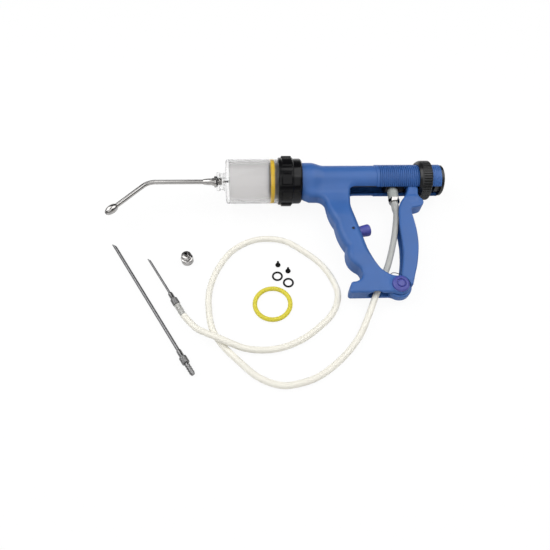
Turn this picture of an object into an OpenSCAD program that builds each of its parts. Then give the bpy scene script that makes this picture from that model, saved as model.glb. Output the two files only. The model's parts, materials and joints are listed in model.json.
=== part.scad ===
// Livestock drencher: a lever-worked dosing gun lying on its side on a table,
// with its hose, draw-off needle and loose spares. Millimetres.
//
// The gun is drawn in its own frame: x runs along the barrel away from the nozzle,
// y towards the gun's top and z out of its near side. x = 0 is where the barrel seats.
// lay_down() leans that frame until union nut, dose ring and pivot pin rest on the table.

/* [Barrel] */
// Bore that the piston runs in
barrel_bore = 40; // [38:0.5:42]
// Thickness of the barrel's wall
barrel_wall = 4; // [3:0.25:5]
// Length from the seat to the outside of the front wall
barrel_len = 66; // [58:1:80]
// Thickness of the front wall, and of the piston's valve web
valve_web = 4; // [3:0.5:6]
// Diameter of the boss on the front wall
boss_d = 20; // [17:0.5:26]
// Length of the boss
boss_len = 10.5; // [9:0.5:14]

/* [Union nut] */
// Wall of the nut over the barrel
nut_wall = 1.5; // [1:0.25:3]
// Wall of the nut over the housing's neck
nut_neck_wall = 4.65; // [2.5:0.05:6]
// Height of the lugs on the nut
lug_h = 1.7; // [1:0.1:4]
// Number of lugs
lug_count = 8; // [4:1:10]
// Reach of the nut over the barrel
nut_front = 9.5; // [6:0.5:12]
// Reach of the nut over the housing's neck
nut_back = 16; // [13:0.5:20]

/* [Nozzle] */
// Outer diameter of the nozzle tube
nozzle_d = 5; // [4:0.25:6]
// Bore of the nozzle tube
nozzle_bore = 3.4; // [2:0.2:3.6]
// Length from the boss to the corner of the bend
nozzle_reach = 74; // [50:1:100]
// Length from the corner of the bend to the middle of the tip
nozzle_drop = 50; // [35:1:70]
// Angle of the bend
nozzle_angle = 45; // [20:1:70]
// Radius of the bend
nozzle_bend = 19; // [8:1:24]
// Diameter of the olive tip
tip_d = 9.4; // [8:0.2:13]
// Length of the olive tip
tip_len = 16; // [12:0.5:22]

/* [Plunger] */
// Travel of the plunger over a full squeeze
stroke = 42; // [30:1:43]
// Length of the piston
piston_len = 16; // [14:0.5:19]
// Section of the piston ring
ring_section = 4.6; // [3:0.1:5]
// Diameter of the plunger rod
rod_d = 14; // [10:0.5:15]
// Bore through rod and carriage
flow_bore = 5.5; // [4:0.25:6]
// Outer diameter of the small O-rings
seal_od = 11.2; // [10:0.2:12]
// Section of the small O-rings
seal_section = 1.7; // [1.2:0.1:2]
// Diameter of the inlet stem above its nut
inlet_d = 11.6; // [10:0.2:13]
// Height of the inlet nut
inlet_nut_h = 4.2; // [3:0.2:6]
// Width of the inlet nut across its flats
inlet_af = 11; // [9:0.25:12]
// Largest diameter of the hose's ferrule
ferrule_d = 8; // [7.6:0.1:9]
// Length of the hose's ferrule
ferrule_len = 11.8; // [8:0.2:13]
// Diameter of the rubber valves' heads
valve_d = 6; // [5.4:0.1:7]

/* [Housing] */
// Diameter of the neck behind the union nut
neck_d = 39.5; // [38:0.5:46]
// Outer diameter of the tube
tube_d = 33; // [30:0.5:34]
// Bore of the tube, which the carriage runs in
tube_bore = 27; // [25:0.5:28]
// Length from the barrel's seat to the end of the tube
tube_len = 169; // [165:1:185]
// Width of the slot along the tube
slot_w = 16.4; // [15:0.2:17]
// Room left before the start of the slot when the inlet stem is right forward
slot_start = 0.6; // [0.4:0.1:4]
// Where the thread starts
thread_start = 97.5; // [85:1:110]
// Outer diameter of the thread
thread_d = 34.5; // [33:0.25:36]
// Pitch of the thread
thread_pitch = 2.2; // [1.5:0.1:3]

/* [Handle] */
// Thickness of the finger grip
grip_t = 23; // [20:0.5:26]
// Thickness of the guard and the foot
foot_t = 17; // [15:0.5:20]
// Distance of the pivot below the barrel's axis
pivot_drop = 133.4; // [128:0.2:140]
// Place of the pivot along the barrel
pivot_x = 105; // [102:0.5:108]
// Height of the pivot above the underside of the foot
pivot_floor = 7.6; // [7:0.1:9]
// Radius of the cheeks round the pivot
cheek_r = 9.7; // [8:0.1:10]
// Gap between the two cheeks
clevis_gap = 9; // [8:0.25:10]
// Diameter of the pivot pin
pivot_d = 6; // [4:0.25:7]
// Diameter of the pivot knob
knob_d = 17; // [14:0.5:19]
// Height of the pivot knob and of the pin's head
knob_h = 3.5; // [2.5:0.25:5]
// Diameter of the stop button
button_d = 13; // [10:0.5:14]
// How far the stop button stands out of the grip
button_len = 13; // [8:0.5:14]
// Diameter of the stop pin
stop_pin_d = 3; // [2:0.25:4]

/* [Lever] */
// Thickness of the lever in the hand
lever_t = 16; // [14:0.5:20]
// Depth of the channel down the lever's front
channel_d = 6; // [5:0.25:7]
// Radius of the lever's round end about the pivot
hub_r = 12.2; // [10.5:0.1:12.5]
// Radius of the tongue that drives the carriage
tongue_r = 5.7; // [5:0.1:6]
// Wire of the return spring
spring_wire = 0.9; // [0.7:0.1:1]
// Rise of the return spring per turn
spring_pitch = 1.4; // [1.35:0.05:1.5]
// Whole turns of the return spring, besides its half turn
spring_turns = 2; // [1:1:2]

/* [Dose ring] */
// Distance of the dose ring's front from the end of the tube at rest
dose_x = 25; // [23:0.5:29]
// Diameter of the dose ring
dose_d = 43.2; // [40:0.2:46]
// Width of the dose ring
dose_w = 14; // [12:0.5:16]
// Number of grooves round the dose ring
dose_grooves = 48; // [24:1:60]
// Diameter of the end cap's flange
cap_d = 33.4; // [32:0.2:34]
// Thickness of the end cap's flange
cap_t = 3.4; // [2:0.2:6]

/* [Hose and needles] */
// Outer diameter of the hose
hose_d = 6.4; // [5.6:0.1:6.6]
// Outer diameter of the long needle
needle_d = 3.4; // [2.6:0.1:4]
// Bore of the long needle
needle_bore = 2.2; // [1.4:0.1:2.4]
// Outer diameter of the needle on the hose
spike_d = 2.4; // [2:0.1:3.4]
// Bore of the needle on the hose
spike_bore = 0.9; // [0.6:0.1:1.6]
// Length of the needle on the hose
spike_len = 50; // [30:1:60]
// Length of the loose long needle
long_len = 148; // [120:1:150]
// Diameter of the needle hubs' collars
hub_d = 7.2; // [6.6:0.1:8]

/* [Clearances] */
// Radial play of parts that are screwed or pushed together
fit_gap = 0.1; // [0.05:0.01:0.2]
// Radial play of seals and pins that turn or slide
run_gap = 0.05; // [0.02:0.01:0.1]
// Play of moving pieces that only pass each other
pass_gap = 0.3; // [0.25:0.05:0.5]

/* [Hidden] */
fine = 64;

// Where the gun's frame stands on the table, and the middle of the kit, which becomes the origin
gun_x = 10;
gun_y = 93;
table_mid = [0.736, 1.184, 0];

// Sizes that follow from the settings
barrel_od = barrel_bore + 2 * barrel_wall;
boss_x = -barrel_len - boss_len;
dose_front = tube_len - dose_x;
piston_x = -barrel_len + valve_web + stroke + 0.7;
piston_d = barrel_bore - 2 * pass_gap;
recess = piston_x + piston_len + pass_gap;
recess_d = piston_d + 2 * pass_gap;
neck_r = recess > 0 ? max(neck_d, recess_d + tube_d - tube_bore) / 2 : neck_d / 2;
nut_r = max(barrel_od / 2, neck_r) + fit_gap + nut_wall;
lug_r = nut_r + lug_h;
lug_back = 5;
lug_len = 11.2;
lug_w = 14.2;
lug_turn = 31;
flange_d = barrel_od - 0.6;
flange_t = 3.5;
spigot_d = seal_od - 2 * seal_section - 2 * run_gap;
foot_drop = pivot_drop + pivot_floor;
pivot = [pivot_x, -pivot_drop];
hub_t = clevis_gap - 2 * pass_gap;
neck_t = slot_w - 2 * pass_gap - 0.2;
tongue_x = dose_front - tongue_r - pass_gap;
tongue_y = -4;
tongue = [tongue_x, tongue_y];
carriage_d = tube_bore - 2 * pass_gap;
carriage_front = 28.7;
carriage_x = tongue_x - carriage_front;
carriage_len = 42.7;
inlet_back = 7.1;
inlet_x = carriage_x + inlet_back;
inlet_y = -12.25;
inlet_nut_y = -26;
ferrule_y = inlet_nut_y - inlet_nut_h;
slot_x = inlet_x - stroke - inlet_d / 2 - slot_start;
seat_in = 4;
rod_x = piston_x + seat_in + valve_web + 2;
ring_x = piston_x + 3.7;
ring_od = barrel_bore - 2 * run_gap;
dose_core_d = thread_d + 4;
dose_edge = 2;
nut_af = inlet_af / cos(30);
inlet_pipe_d = 5.4;
hub_in = 10;

// The lean that lets nut, dose ring and pivot pin touch the table
head_r = 7;
head_ball = (head_r * head_r + knob_h * knob_h) / (2 * knob_h);
head_z = foot_t / 2 + knob_h;
lean_y = atan((lug_r - dose_d / 2) / (dose_front + dose_w - dose_edge - lug_back));
rest_h = sin(lean_y) * lug_back + cos(lean_y) * lug_r;
lean_rise = (rest_h - head_ball - sin(lean_y) * pivot_x) / cos(lean_y);
lean_x = asin(lean_rise / norm([pivot_drop, head_z - head_ball])) - atan2(head_z - head_ball, pivot_drop);
function turn_x(p, a) = [p.x, p.y * cos(a) - p.z * sin(a), p.y * sin(a) + p.z * cos(a)];
function turn_y(p, a) = [p.x * cos(a) + p.z * sin(a), p.y, p.z * cos(a) - p.x * sin(a)];
function aim(v) = turn_y(turn_x(v, lean_x), lean_y);
function on_table(p) = aim(p) + [gun_x, gun_y, rest_h] - table_mid;

// The lever's swing over the stroke
arm = norm([tongue_x - pivot_x, tongue_y + pivot_drop]);
swing_rest = asin((tongue_x - pivot_x) / arm);
swing = swing_rest - asin((tongue_x - stroke - pivot_x) / arm);

// Points on a circle, and on a bow of given rise between two points
function arc(c, r, a, b, n = 10) =
  [for (i = [0 : n]) let (t = a + (b - a) * i / n) c + r * [cos(t), sin(t)]];
function bow(a, b, rise, n = 6) = let (d = (b - a) / norm(b - a), s = [d.y, -d.x])
  [for (i = [0 : n]) a + (b - a) * i / n + s * rise * 4 * (i / n) * (1 - i / n)];

// Outline of guard, grip and foot: x in millimetres, y as a share of the drop to the foot's underside
function down(x, share) = [x, -share * foot_drop];
groove = down(60, 0.848);
handle_front = concat(
  [[17, -12], [19, -21], [23, -25]],
  arc([30.5, -35.5], 10, 90, 0),
  bow(down(41.2, 0.284), down(47.7, 0.4255), 1),
  bow(down(47.7, 0.4255), down(56.4, 0.631), 1.8),
  bow(down(56.4, 0.631), groove + [4.2, 7.95], 3.6),
  arc(groove, 9, 62, -95, 12),
  [down(57.2, 0.919), down(55.2, 0.954), down(54.4, 0.989), down(56.5, 1)]
);
handle_rear = [
  [pivot_x, -foot_drop], pivot + [0, cheek_r], down(102, 0.872), down(97.4, 0.8595), down(92.5, 0.838),
  down(87.6, 0.806), down(83.4, 0.757), down(80.5, 0.699), down(78, 0.628), down(75.3, 0.539),
  down(71.9, 0.4255), down(67.2, 0.27), [67.6, -26], [68.3, -12]
];
handle_outline = concat(handle_front, handle_rear);
grip_lean = 12.2;
grip_mid = down(61.4, 0.49);
button_root = down(72, 0.479);
button_lean = 12.6;
button_in = 11;
stop_pin_in = 7;
button_stem_d = button_d - 4;

// Edges of the lever: x in millimetres, y as a share of the drop to the pivot
function along(x, share) = [x, -share * pivot_drop];
lever_top_x = 138;
lever_shift = tongue_x - lever_top_x;
lever_front = [
  along(127 + lever_shift, 0.195), along(122.6 + lever_shift, 0.237), along(119.4, 0.277),
  along(117.2, 0.335), along(115.9, 0.41), along(114.9, 0.5), along(114.8, 0.6), along(114.4, 0.66),
  along(112.8, 0.757), along(110.4, 0.84), along(108.4, 0.895)
];
lever_back = [
  along(122.6, 0.905), along(126, 0.835), along(128.7, 0.76), along(131, 0.68), along(132.3, 0.6),
  along(132.6, 0.51), along(131.9, 0.42), along(131, 0.345), along(132.6, 0.312), along(138.6, 0.3013),
  along(143.4, 0.288), along(145.7, 0.268), along(146.2, 0.249), along(145.3, 0.229),
  along(143.4 + lever_shift, 0.21), along(141.8 + lever_shift, 0.193)
];
lever_foot = lever_front[len(lever_front) - 1];
function shifted(points, d) = [for (p = points) p + d];
function reversed(points) = [for (i = [len(points) - 1 : -1 : 0]) points[i]];

// The hose: a riser down to the foot, then the run over the table, both as a smooth line through points
hose_in = [on_table([inlet_x, ferrule_y - 0.3, 0]), on_table([inlet_x, ferrule_y - ferrule_len - 1.5, 0])];
hose_top = [91, 11.4 - pivot_drop, 0];
hose_out = [81.4, -foot_drop, 0];
hose_split = 0.55 * hose_top + 0.45 * hose_out;
hose_start = hose_split + 0.1 * (hose_out - hose_top) / norm(hose_out - hose_top);
riser_knots = concat(hose_in, [for (p = [
  [inlet_x - 1, -50, 0], [inlet_x - 2.8, -58, 0], [109.4, -75, 0],
  [102.2, -97, 0], [96.6, -111, 0], hose_top
]) on_table(p)], [on_table(hose_split)]);
hose_z = hose_d / 2 + 0.1;
spike_z = hub_d / 2 + 0.05;
spike_at = [-138.9, 12.2, spike_z] - table_mid;
spike_turn = -59.6;
spike_dir = [cos(spike_turn), sin(spike_turn), 0];
spike_collar = spike_at + (spike_len + 16) * spike_dir;
run_knots = concat(
  [on_table(hose_start), on_table(hose_out)],
  [for (p = [
    [82, -66, 9], [70, -88, 5], [52, -108, hose_z], [29, -125, hose_z], [6, -132, hose_z],
    [-10, -131.5, hose_z], [-28, -123, hose_z], [-45, -107, hose_z], [-60, -90.5, hose_z],
    [-70, -73, hose_z], [-74, -52, hose_z], [-74, -30, hose_z], [-67, -6, hose_z],
    [-53, 16.5, hose_z], [-35, 29, hose_z], [-16, 33, hose_z], [5, 29, hose_z], [23, 16, hose_z],
    [40.5, -1.5, hose_z], [51.5, -22, hose_z], [55, -41, hose_z], [48, -60, hose_z],
    [34, -74.5, hose_z], [16, -87.5, hose_z], [-3, -95, hose_z], [-20, -97, hose_z],
    [-37, -95.5, 4.6], [-50, -92, 8.6], [-63, -86, 10.6], [-74, -80, 8.6], [-86, -71.5, 5]
  ]) p - table_mid],
  [spike_collar + 14 * spike_dir, spike_collar + 5 * spike_dir, spike_collar + 0.2 * spike_dir]
);

// Smooth line through knots: n points to each span
function knot(k, i) = k[max(0, min(len(k) - 1, i))];
function span_point(k, i, t) =
  let (a = knot(k, i - 1), b = knot(k, i), c = knot(k, i + 1), d = knot(k, i + 2))
  0.5 * (2 * b + (c - a) * t + (2 * a - 5 * b + 4 * c - d) * t * t + (3 * b - a - 3 * c + d) * t * t * t);
function smooth(k, n) = concat(
  [for (i = [0 : len(k) - 2], j = [0 : n - 1]) span_point(k, i, j / n)], [k[len(k) - 1]]);
function line_len(p) = len(p) < 2 ? 0 : [for (i = 1, s = norm(p[1] - p[0]); i < len(p);
  i = i + 1, s = i < len(p) ? s + norm(p[i] - p[i - 1]) : s) s][len(p) - 2];
function unit(v) = v / norm(v);
function heading(p, i) = unit(p[min(len(p) - 1, i + 1)] - p[max(0, i - 1)]);
function ring_at(p, t, r, n) = let (s = unit(cross([0, 0, 1], t)), u = cross(t, s))
  [for (k = [0 : n - 1]) p + r * (cos(360 * k / n) * s + sin(360 * k / n) * u)];

// The return spring: a hooked leg up from the cheeks, the curls, then a leg up inside the lever
spring_r = 6.5;
spring_sides = 6;
curls = spring_turns + 0.5;
coil_z = curls * spring_pitch / 2;
leg_a = [pivot_x - spring_r, 14.4 - pivot_drop, coil_z];
leg_b = [lever_foot.x + channel_d + 0.7, 21 - pivot_drop, -coil_z];
hook = [[10.2, -0.6], [7, 1.3], [3.4, 1.9], [0.9, 0.9]];
spring_line = concat(
  [for (p = hook) leg_a + [p.x, p.y, 0]],
  [leg_a - [0, 1.2, 0], leg_a * 0.5 + [pivot_x - spring_r, -pivot_drop, coil_z] * 0.5],
  [for (i = [0 : 8 * curls]) let (a = 180 + 45 * i)
    [pivot_x + spring_r * cos(a), spring_r * sin(a) - pivot_drop, coil_z - spring_pitch * i / 8]],
  [leg_b * 0.5 + [pivot_x + spring_r + 0.4, -pivot_drop, -coil_z] * 0.5, leg_b]
);
spring_gap = min([for (i = [6 : len(spring_line) - 3], j = [6 : len(spring_line) - 3])
  if (j - i > 5) norm(spring_line[i] - spring_line[j])]) - spring_wire;

// A tube swept along points
module swept(points, r, n) {
  last = len(points) - 1;
  rings = [for (i = [0 : last]) each ring_at(points[i], heading(points, i), r, n)];
  sides = [for (i = [0 : last - 1], k = [0 : n - 1])
    [i * n + k, (i + 1) * n + k, (i + 1) * n + (k + 1) % n, i * n + (k + 1) % n]];
  ends = [[for (k = [0 : n - 1]) k], [for (k = [n - 1 : -1 : 0]) last * n + k]];
  polyhedron(points = rings, faces = concat(sides, ends), convexity = 10);
}

// Puts the gun's frame on the table
module lay_down() {
  translate(on_table([0, 0, 0]))
    rotate([lean_x, lean_y, 0])
      children();
}

// A turned body about the barrel's axis, from points of radius and x
module turned(points) {
  rotate([0, 90, 0])
    rotate_extrude($fn = fine)
      polygon(points);
}

// A round bar along the barrel's axis
module bar_x(x0, x1, d) {
  translate([x0, 0, 0])
    rotate([0, 90, 0])
      cylinder(h = x1 - x0, d = d, $fn = fine);
}

// A round bar straight down from y1 to y0
module bar_y(x, y0, y1, d, d_low = 0) {
  translate([x, y1, 0])
    rotate([90, 0, 0])
      cylinder(h = y1 - y0, d1 = d, d2 = d_low > 0 ? d_low : d, $fn = fine);
}

// A round bar across the gun at a place in its mid plane
module bar_z(p, z0, z1, d) {
  translate([p.x, p.y, z0])
    cylinder(h = z1 - z0, d = d, $fn = fine);
}

// A flat plate about the mid plane
module plate(t) {
  linear_extrude(height = t, center = true)
    children();
}

// A block from one corner to another
module block(a, b) {
  translate(a)
    cube(b - a);
}

// An O-ring about the z axis, its middle at the origin
module o_ring(od, section) {
  rotate_extrude($fn = fine)
    translate([(od - section) / 2, 0])
      circle(d = section, $fn = 32);
}

// A rubber valve on its head, stem up: the head lies on the z = 0 plane
module valve() {
  rotate_extrude($fn = fine)
    polygon([
      [0, 0], [valve_d / 2 - 0.8, 0], [valve_d / 2, 0.6], [valve_d / 2, 1.4], [0.9, 1.4],
      [0.9, 1.5 + valve_web], [1.5, 1.5 + valve_web], [0.7, 4 + valve_web], [0, 4 + valve_web]
    ]);
}

// The holes a valve needs in its web, which starts at x and runs towards +x
module valve_holes(x) {
  bar_x(x - 1, x + valve_web + 1, 2);
  for (a = [0 : 60 : 300])
    rotate([a, 0, 0])
      translate([0, 1.95, 0])
        bar_x(x - 1, x + valve_web + 1, 1);
}

// Diameter of a needle's shank inside its hub
function shank(d, bore) = (d + bore) / 2;

// A barbed needle hub along +x: it starts where the needle enters and ends with the hose barb
module needle_hub(d, bore) {
  difference() {
    turned([
      [0, 0], [2, 0], [2.4, 1], [2.4, 8], [hub_d / 2 - 0.5, 8], [hub_d / 2, 8.5], [hub_d / 2, 15.5],
      [hub_d / 2 - 0.5, 16], [2, 16], [2, 18], [2.6, 18], [2, 21.5], [2.6, 21.5], [2, 25], [2.6, 25],
      [1.9, 29], [0, 29]
    ]);
    bar_x(-1, hub_in, shank(d, bore) + 2 * run_gap);
    bar_x(-1, 30, bore);
  }
}

// A hollow needle along +x with a slanted point at x = 0 and a thinner shank for its hub
module needle(length, d, bore) {
  difference() {
    union() {
      bar_x(0, length - 0.6, d);
      bar_x(length - 1, length + hub_in, shank(d, bore));
    }
    bar_x(-1, length + hub_in + 1, bore);
    translate([0, 0, -d / 2])
      rotate([0, -60, 0])
        translate([0, -d, 0])
          cube([4 * d, 2 * d, 4 * d]);
  }
}

// The blue body: neck, slotted and threaded tube, guard, finger grip and foot
module housing() {
  color("RoyalBlue")
    lay_down()
      difference() {
        union() {
          housing_tube();
          intersection() {
            plate(foot_t)
              polygon(handle_outline);
            union() {
              block([0, -46, -foot_t], [90, 0, foot_t]);
              block([0, -foot_drop - 20, -foot_t], [160, -0.71 * foot_drop, foot_t]);
            }
          }
          intersection() {
            plate(grip_t)
              polygon(handle_outline);
            grip_round();
          }
          bar_z(pivot, -foot_t / 2, foot_t / 2, 2 * cheek_r);
        }
        bar_x(-1, tube_len + 1, tube_bore);
        if (recess > 0) bar_x(-1, recess, recess_d);
        slot_cut();
        clevis_cut();
        hose_cut();
        bar_z(pivot, -foot_t, foot_t, pivot_d + 2 * run_gap);
        stop_cut();
      }
}

// Neck, taper and threaded tube
module housing_tube() {
  turns = floor((tube_len - thread_start - 1) / thread_pitch);
  turned(concat(
    [[0, 0], [flange_d / 2, 0], [flange_d / 2, flange_t], [neck_r, flange_t], [neck_r, 27]],
    [for (i = [1 : 8]) [tube_d / 2 + (neck_r - tube_d / 2) / 2 * (1 + cos(22.5 * i)), 27 + 1.7 * i]],
    [for (i = [0 : turns - 1]) each [
      [tube_d / 2, thread_start + i * thread_pitch],
      [thread_d / 2, thread_start + (i + 0.3) * thread_pitch],
      [thread_d / 2, thread_start + (i + 0.5) * thread_pitch],
      [tube_d / 2, thread_start + (i + 0.8) * thread_pitch]
    ]],
    [[tube_d / 2, tube_len], [0, tube_len]]
  ));
}

// The leaning rounded bar that gives the grip its soft edges
module grip_round() {
  w = 29;
  r = 9;
  translate([grip_mid.x, grip_mid.y, 0])
    rotate([90, 0, grip_lean])
      linear_extrude(height = 92, center = true)
        union() {
          square([w - 2 * r, grip_t], center = true);
          square([w, grip_t - 2 * r], center = true);
          for (x = [-1, 1], y = [-1, 1])
            translate([x * (w / 2 - r), y * (grip_t / 2 - r)])
              circle(r = r, $fn = fine);
        }
}

// The slot along the underside of the tube, open at its end
module slot_cut() {
  block([slot_x, -thread_d, -slot_w / 2], [tube_len + 1, 0, slot_w / 2]);
}

// Room for the lever's round end between the cheeks
module clevis_cut() {
  web_x = pivot_x - spring_r - spring_wire / 2 - pass_gap;
  bar_z(pivot, -clevis_gap / 2, clevis_gap / 2, 2 * hub_r + 1);
  block([pivot_x, -foot_drop - 20, -clevis_gap / 2], [pivot_x + 40, 20 - pivot_drop, clevis_gap / 2]);
  block([web_x, -pivot_drop, -clevis_gap / 2], [pivot_x + 1, 20 - pivot_drop, clevis_gap / 2]);
  block(
    [pivot_x - hub_r - 0.5, -foot_drop - 20, -clevis_gap / 2],
    [pivot_x + 1, -pivot_drop, clevis_gap / 2]
  );
  block([81, -foot_drop - 1, -3.8], [pivot_x, 0.5 - pivot_drop, 3.8]);
}

// The hose's way through the foot
module hose_cut() {
  way = hose_split - hose_out;
  translate(hose_out - way)
    rotate([0, 0, atan2(way.y, way.x)])
      bar_x(0, 3.5 * norm(way), hose_d + 1.8);
  bar_y(hose_out.x, -foot_drop - 1, 8 - foot_drop, foot_t - 2);
}

// Holes for the stop button and its pin
module stop_cut() {
  at_button() {
    bar_x(-button_in - 0.5, 30, button_stem_d + 2 * fit_gap);
    bar_x(0, 30, button_d + 2 * fit_gap);
    bar_z([-stop_pin_in, 0], -grip_t, grip_t, stop_pin_d + 2 * run_gap);
  }
}

// The stop button's own frame: x points out of the grip
module at_button() {
  translate([button_root.x, button_root.y, 0])
    rotate([0, 0, button_lean])
      children();
}

// The clear barrel with its front wall and boss
module barrel() {
  front = -barrel_len;
  r = boss_d / 2;
  color("WhiteSmoke", 0.5)
    lay_down()
      difference() {
        turned([
          [0, 0], [barrel_od / 2, 0], [barrel_od / 2, front + 1.5],
          [barrel_od / 2 - 0.5, front + 0.5], [barrel_od / 2 - 1.5, front],
          [r + 2, front], [r, front - 1.2], [r, front - 2.6], [r - 1, front - 3.4],
          [r - 1, boss_x + 4.2], [r, boss_x + 3.4], [r, boss_x + 0.6], [r - 0.6, boss_x], [0, boss_x]
        ]);
        bar_x(front + valve_web, 1, barrel_bore);
        bar_x(boss_x - 1, front, spigot_d + 2 * fit_gap);
        bar_x(boss_x - 1, boss_x + seal_section - 0.1, seal_od + 2 * fit_gap);
        valve_holes(front);
      }
}

// The black lugged nut that clamps the barrel to the housing
module union_nut() {
  rear_r = neck_r + fit_gap + nut_neck_wall;
  color("Black")
    lay_down()
      difference() {
        union() {
          turned([
            [0, -nut_front], [nut_r - 0.8, -nut_front], [nut_r, 0.8 - nut_front], [nut_r, 5.6],
            [rear_r, 6.6], [rear_r, nut_back - 2.4], [rear_r - 0.4, nut_back - 1.2],
            [rear_r - 1.2, nut_back - 0.4], [rear_r - 2, nut_back], [0, nut_back]
          ]);
          for (i = [0 : lug_count - 1])
            rotate([lug_turn + i * 360 / lug_count, 0, 0])
              intersection() {
                bar_x(lug_back - lug_len, lug_back, 2 * lug_r);
                block([-20, -lug_w / 2, nut_r - 1.2], [20, lug_w / 2, lug_r + 1]);
              }
        }
        bar_x(-nut_front - 1, flange_t, barrel_od + 2 * fit_gap);
        bar_x(0, nut_back + 1, 2 * (neck_r + fit_gap));
      }
}

// The rubber outlet valve: its head closes the front wall from outside
module outlet_valve() {
  color("DimGray")
    lay_down()
      translate([-barrel_len - 1.45, 0, 0])
        rotate([0, 90, 0])
          valve();
}

// The metal hub that screws into the boss and carries the nozzle tube
module nozzle_hub() {
  flange = boss_x - 2.4;
  color("Silver")
    lay_down()
      difference() {
        turned([
          [0, boss_x + 6], [spigot_d / 2, boss_x + 6], [spigot_d / 2, boss_x],
          [seal_od / 2 + 0.6, boss_x], [seal_od / 2 + 0.6, flange + 0.4], [seal_od / 2 + 0.2, flange],
          [3.6, flange], [3.6, flange - 7.5], [nozzle_d / 2 + 0.5, flange - 12], [0, flange - 12]
        ]);
        bar_x(flange - 13, flange - 3, nozzle_d + 2 * run_gap);
        bar_x(flange - 4, boss_x + 7, nozzle_bore);
      }
}

// The O-ring between boss and nozzle hub
module nozzle_seal() {
  color("Black")
    lay_down()
      translate([boss_x + seal_section / 2 - 0.05, 0, 0])
        rotate([0, 90, 0])
          o_ring(seal_od, seal_section - 0.1);
}

// The line of the nozzle: straight, bend, straight. The bend is a hair thicker and takes both stretches in
module nozzle_line(d, back, past) {
  hair = 0.06;
  lap = 0.3;
  corner = boss_x - nozzle_reach;
  cut = nozzle_bend * tan(nozzle_angle / 2);
  bar_x(corner + cut - lap, back, d);
  translate([corner + cut, -nozzle_bend, 0])
    rotate([0, 0, 90])
      rotate_extrude(angle = nozzle_angle, $fn = fine)
        translate([nozzle_bend, 0])
          circle(d = d + hair, $fn = 48);
  at_slant()
    bar_x(cut - lap, past, d);
}

// The frame of the slanted end: x runs down it from the corner of the bend
module at_slant() {
  translate([boss_x - nozzle_reach, 0, 0])
    rotate([0, 0, 180 + nozzle_angle])
      children();
}

// The bent nozzle tube
module nozzle_tube() {
  color("Silver")
    lay_down()
      difference() {
        nozzle_line(nozzle_d, boss_x - 5.5, nozzle_drop + 1);
        nozzle_line(nozzle_bore, boss_x, nozzle_drop + 2);
      }
}

// The olive tip that protects the animal's mouth
module nozzle_tip() {
  color("Silver")
    lay_down()
      at_slant()
        difference() {
          turned([for (i = [0 : 20]) [tip_d / 2 * sin(9 * i), nozzle_drop - tip_len / 2 * cos(9 * i)]]);
          bar_x(0, nozzle_drop + 1, nozzle_d + 2 * run_gap);
          bar_x(0, nozzle_drop + tip_len, nozzle_bore);
        }
}

// The cap that closes the tube's end
module end_cap() {
  plug = tube_bore / 2 - fit_gap;
  color("Black")
    lay_down()
      turned([
        [0, tube_len - 6], [plug - 0.6, tube_len - 6], [plug, tube_len - 5.4], [plug, tube_len],
        [cap_d / 2, tube_len], [cap_d / 2, tube_len + cap_t - 0.8], [cap_d / 2 - 0.8, tube_len + cap_t],
        [0, tube_len + cap_t]
      ]);
}

// The pivot pin with its domed far head
module pivot_pin() {
  color("Silver")
    lay_down()
      union() {
        bar_z(pivot, -foot_t / 2 - 1, foot_t / 2 + 2, pivot_d);
        intersection() {
          translate([pivot.x, pivot.y, head_ball - head_z])
            sphere(r = head_ball, $fn = fine);
          bar_z(pivot, -head_z - 1, -foot_t / 2, 4 * head_r);
        }
      }
}

// The round knob on the pivot pin's near end
module pivot_knob() {
  r = knob_d / 2;
  color("MediumSlateBlue")
    lay_down()
      translate([pivot.x, pivot.y, foot_t / 2])
        rotate_extrude($fn = fine)
          polygon([
            [0, 2.1], [pivot_d / 2 + run_gap, 2.1], [pivot_d / 2 + run_gap, 0], [r - 0.5, 0], [r, 0.5],
            [r, knob_h - 0.9], [r - 0.9, knob_h], [4.6, knob_h], [4, knob_h - 0.7], [0, knob_h - 0.7]
          ]);
}

// The buffer that the lever closes towards
module stop_button() {
  r = button_d / 2;
  color("MediumSlateBlue")
    lay_down()
      at_button()
        difference() {
          turned([
            [0, -button_in], [button_stem_d / 2, -button_in], [button_stem_d / 2, 0], [r, 0],
            [r, button_len - 1.2], [r - 0.4, button_len - 0.4], [r - 1.2, button_len], [0, button_len]
          ]);
          bar_z([-stop_pin_in, 0], -grip_t, grip_t, stop_pin_d + 2 * run_gap);
        }
}

// The cross pin that holds the stop button
module stop_pin() {
  color("Gray")
    lay_down()
      at_button()
        bar_z([-stop_pin_in, 0], -grip_t / 2 + 1.2, grip_t / 2 - 1.2, stop_pin_d);
}

// The piston, with the groove of its ring and the seat of the inlet valve
module piston() {
  r = piston_d / 2;
  groove_r = ring_od / 2 - ring_section - run_gap;
  half = ring_section / 2 + 0.1;
  color("Black")
    lay_down()
      difference() {
        turned([
          [0, piston_x], [r - 0.8, piston_x], [r, piston_x + 0.8],
          [r, ring_x - half], [groove_r, ring_x - half], [groove_r, ring_x + half], [r, ring_x + half],
          [r, piston_x + piston_len], [0, piston_x + piston_len]
        ]);
        bar_x(piston_x - 1, piston_x + seat_in, valve_d + 3);
        bar_x(piston_x + seat_in + valve_web, rod_x + 1, flow_bore);
        bar_x(rod_x, piston_x + piston_len + 1, rod_d + 2 * run_gap);
        valve_holes(piston_x + seat_in);
      }
}

// The yellow ring that seals the piston
module piston_ring() {
  color("Gold")
    lay_down()
      translate([ring_x, 0, 0])
        rotate([0, 90, 0])
          o_ring(ring_od, ring_section);
}

// The rubber inlet valve in the piston's face
module inlet_valve() {
  color("DimGray")
    lay_down()
      translate([piston_x + seat_in - 1.45, 0, 0])
        rotate([0, 90, 0])
          valve();
}

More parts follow.
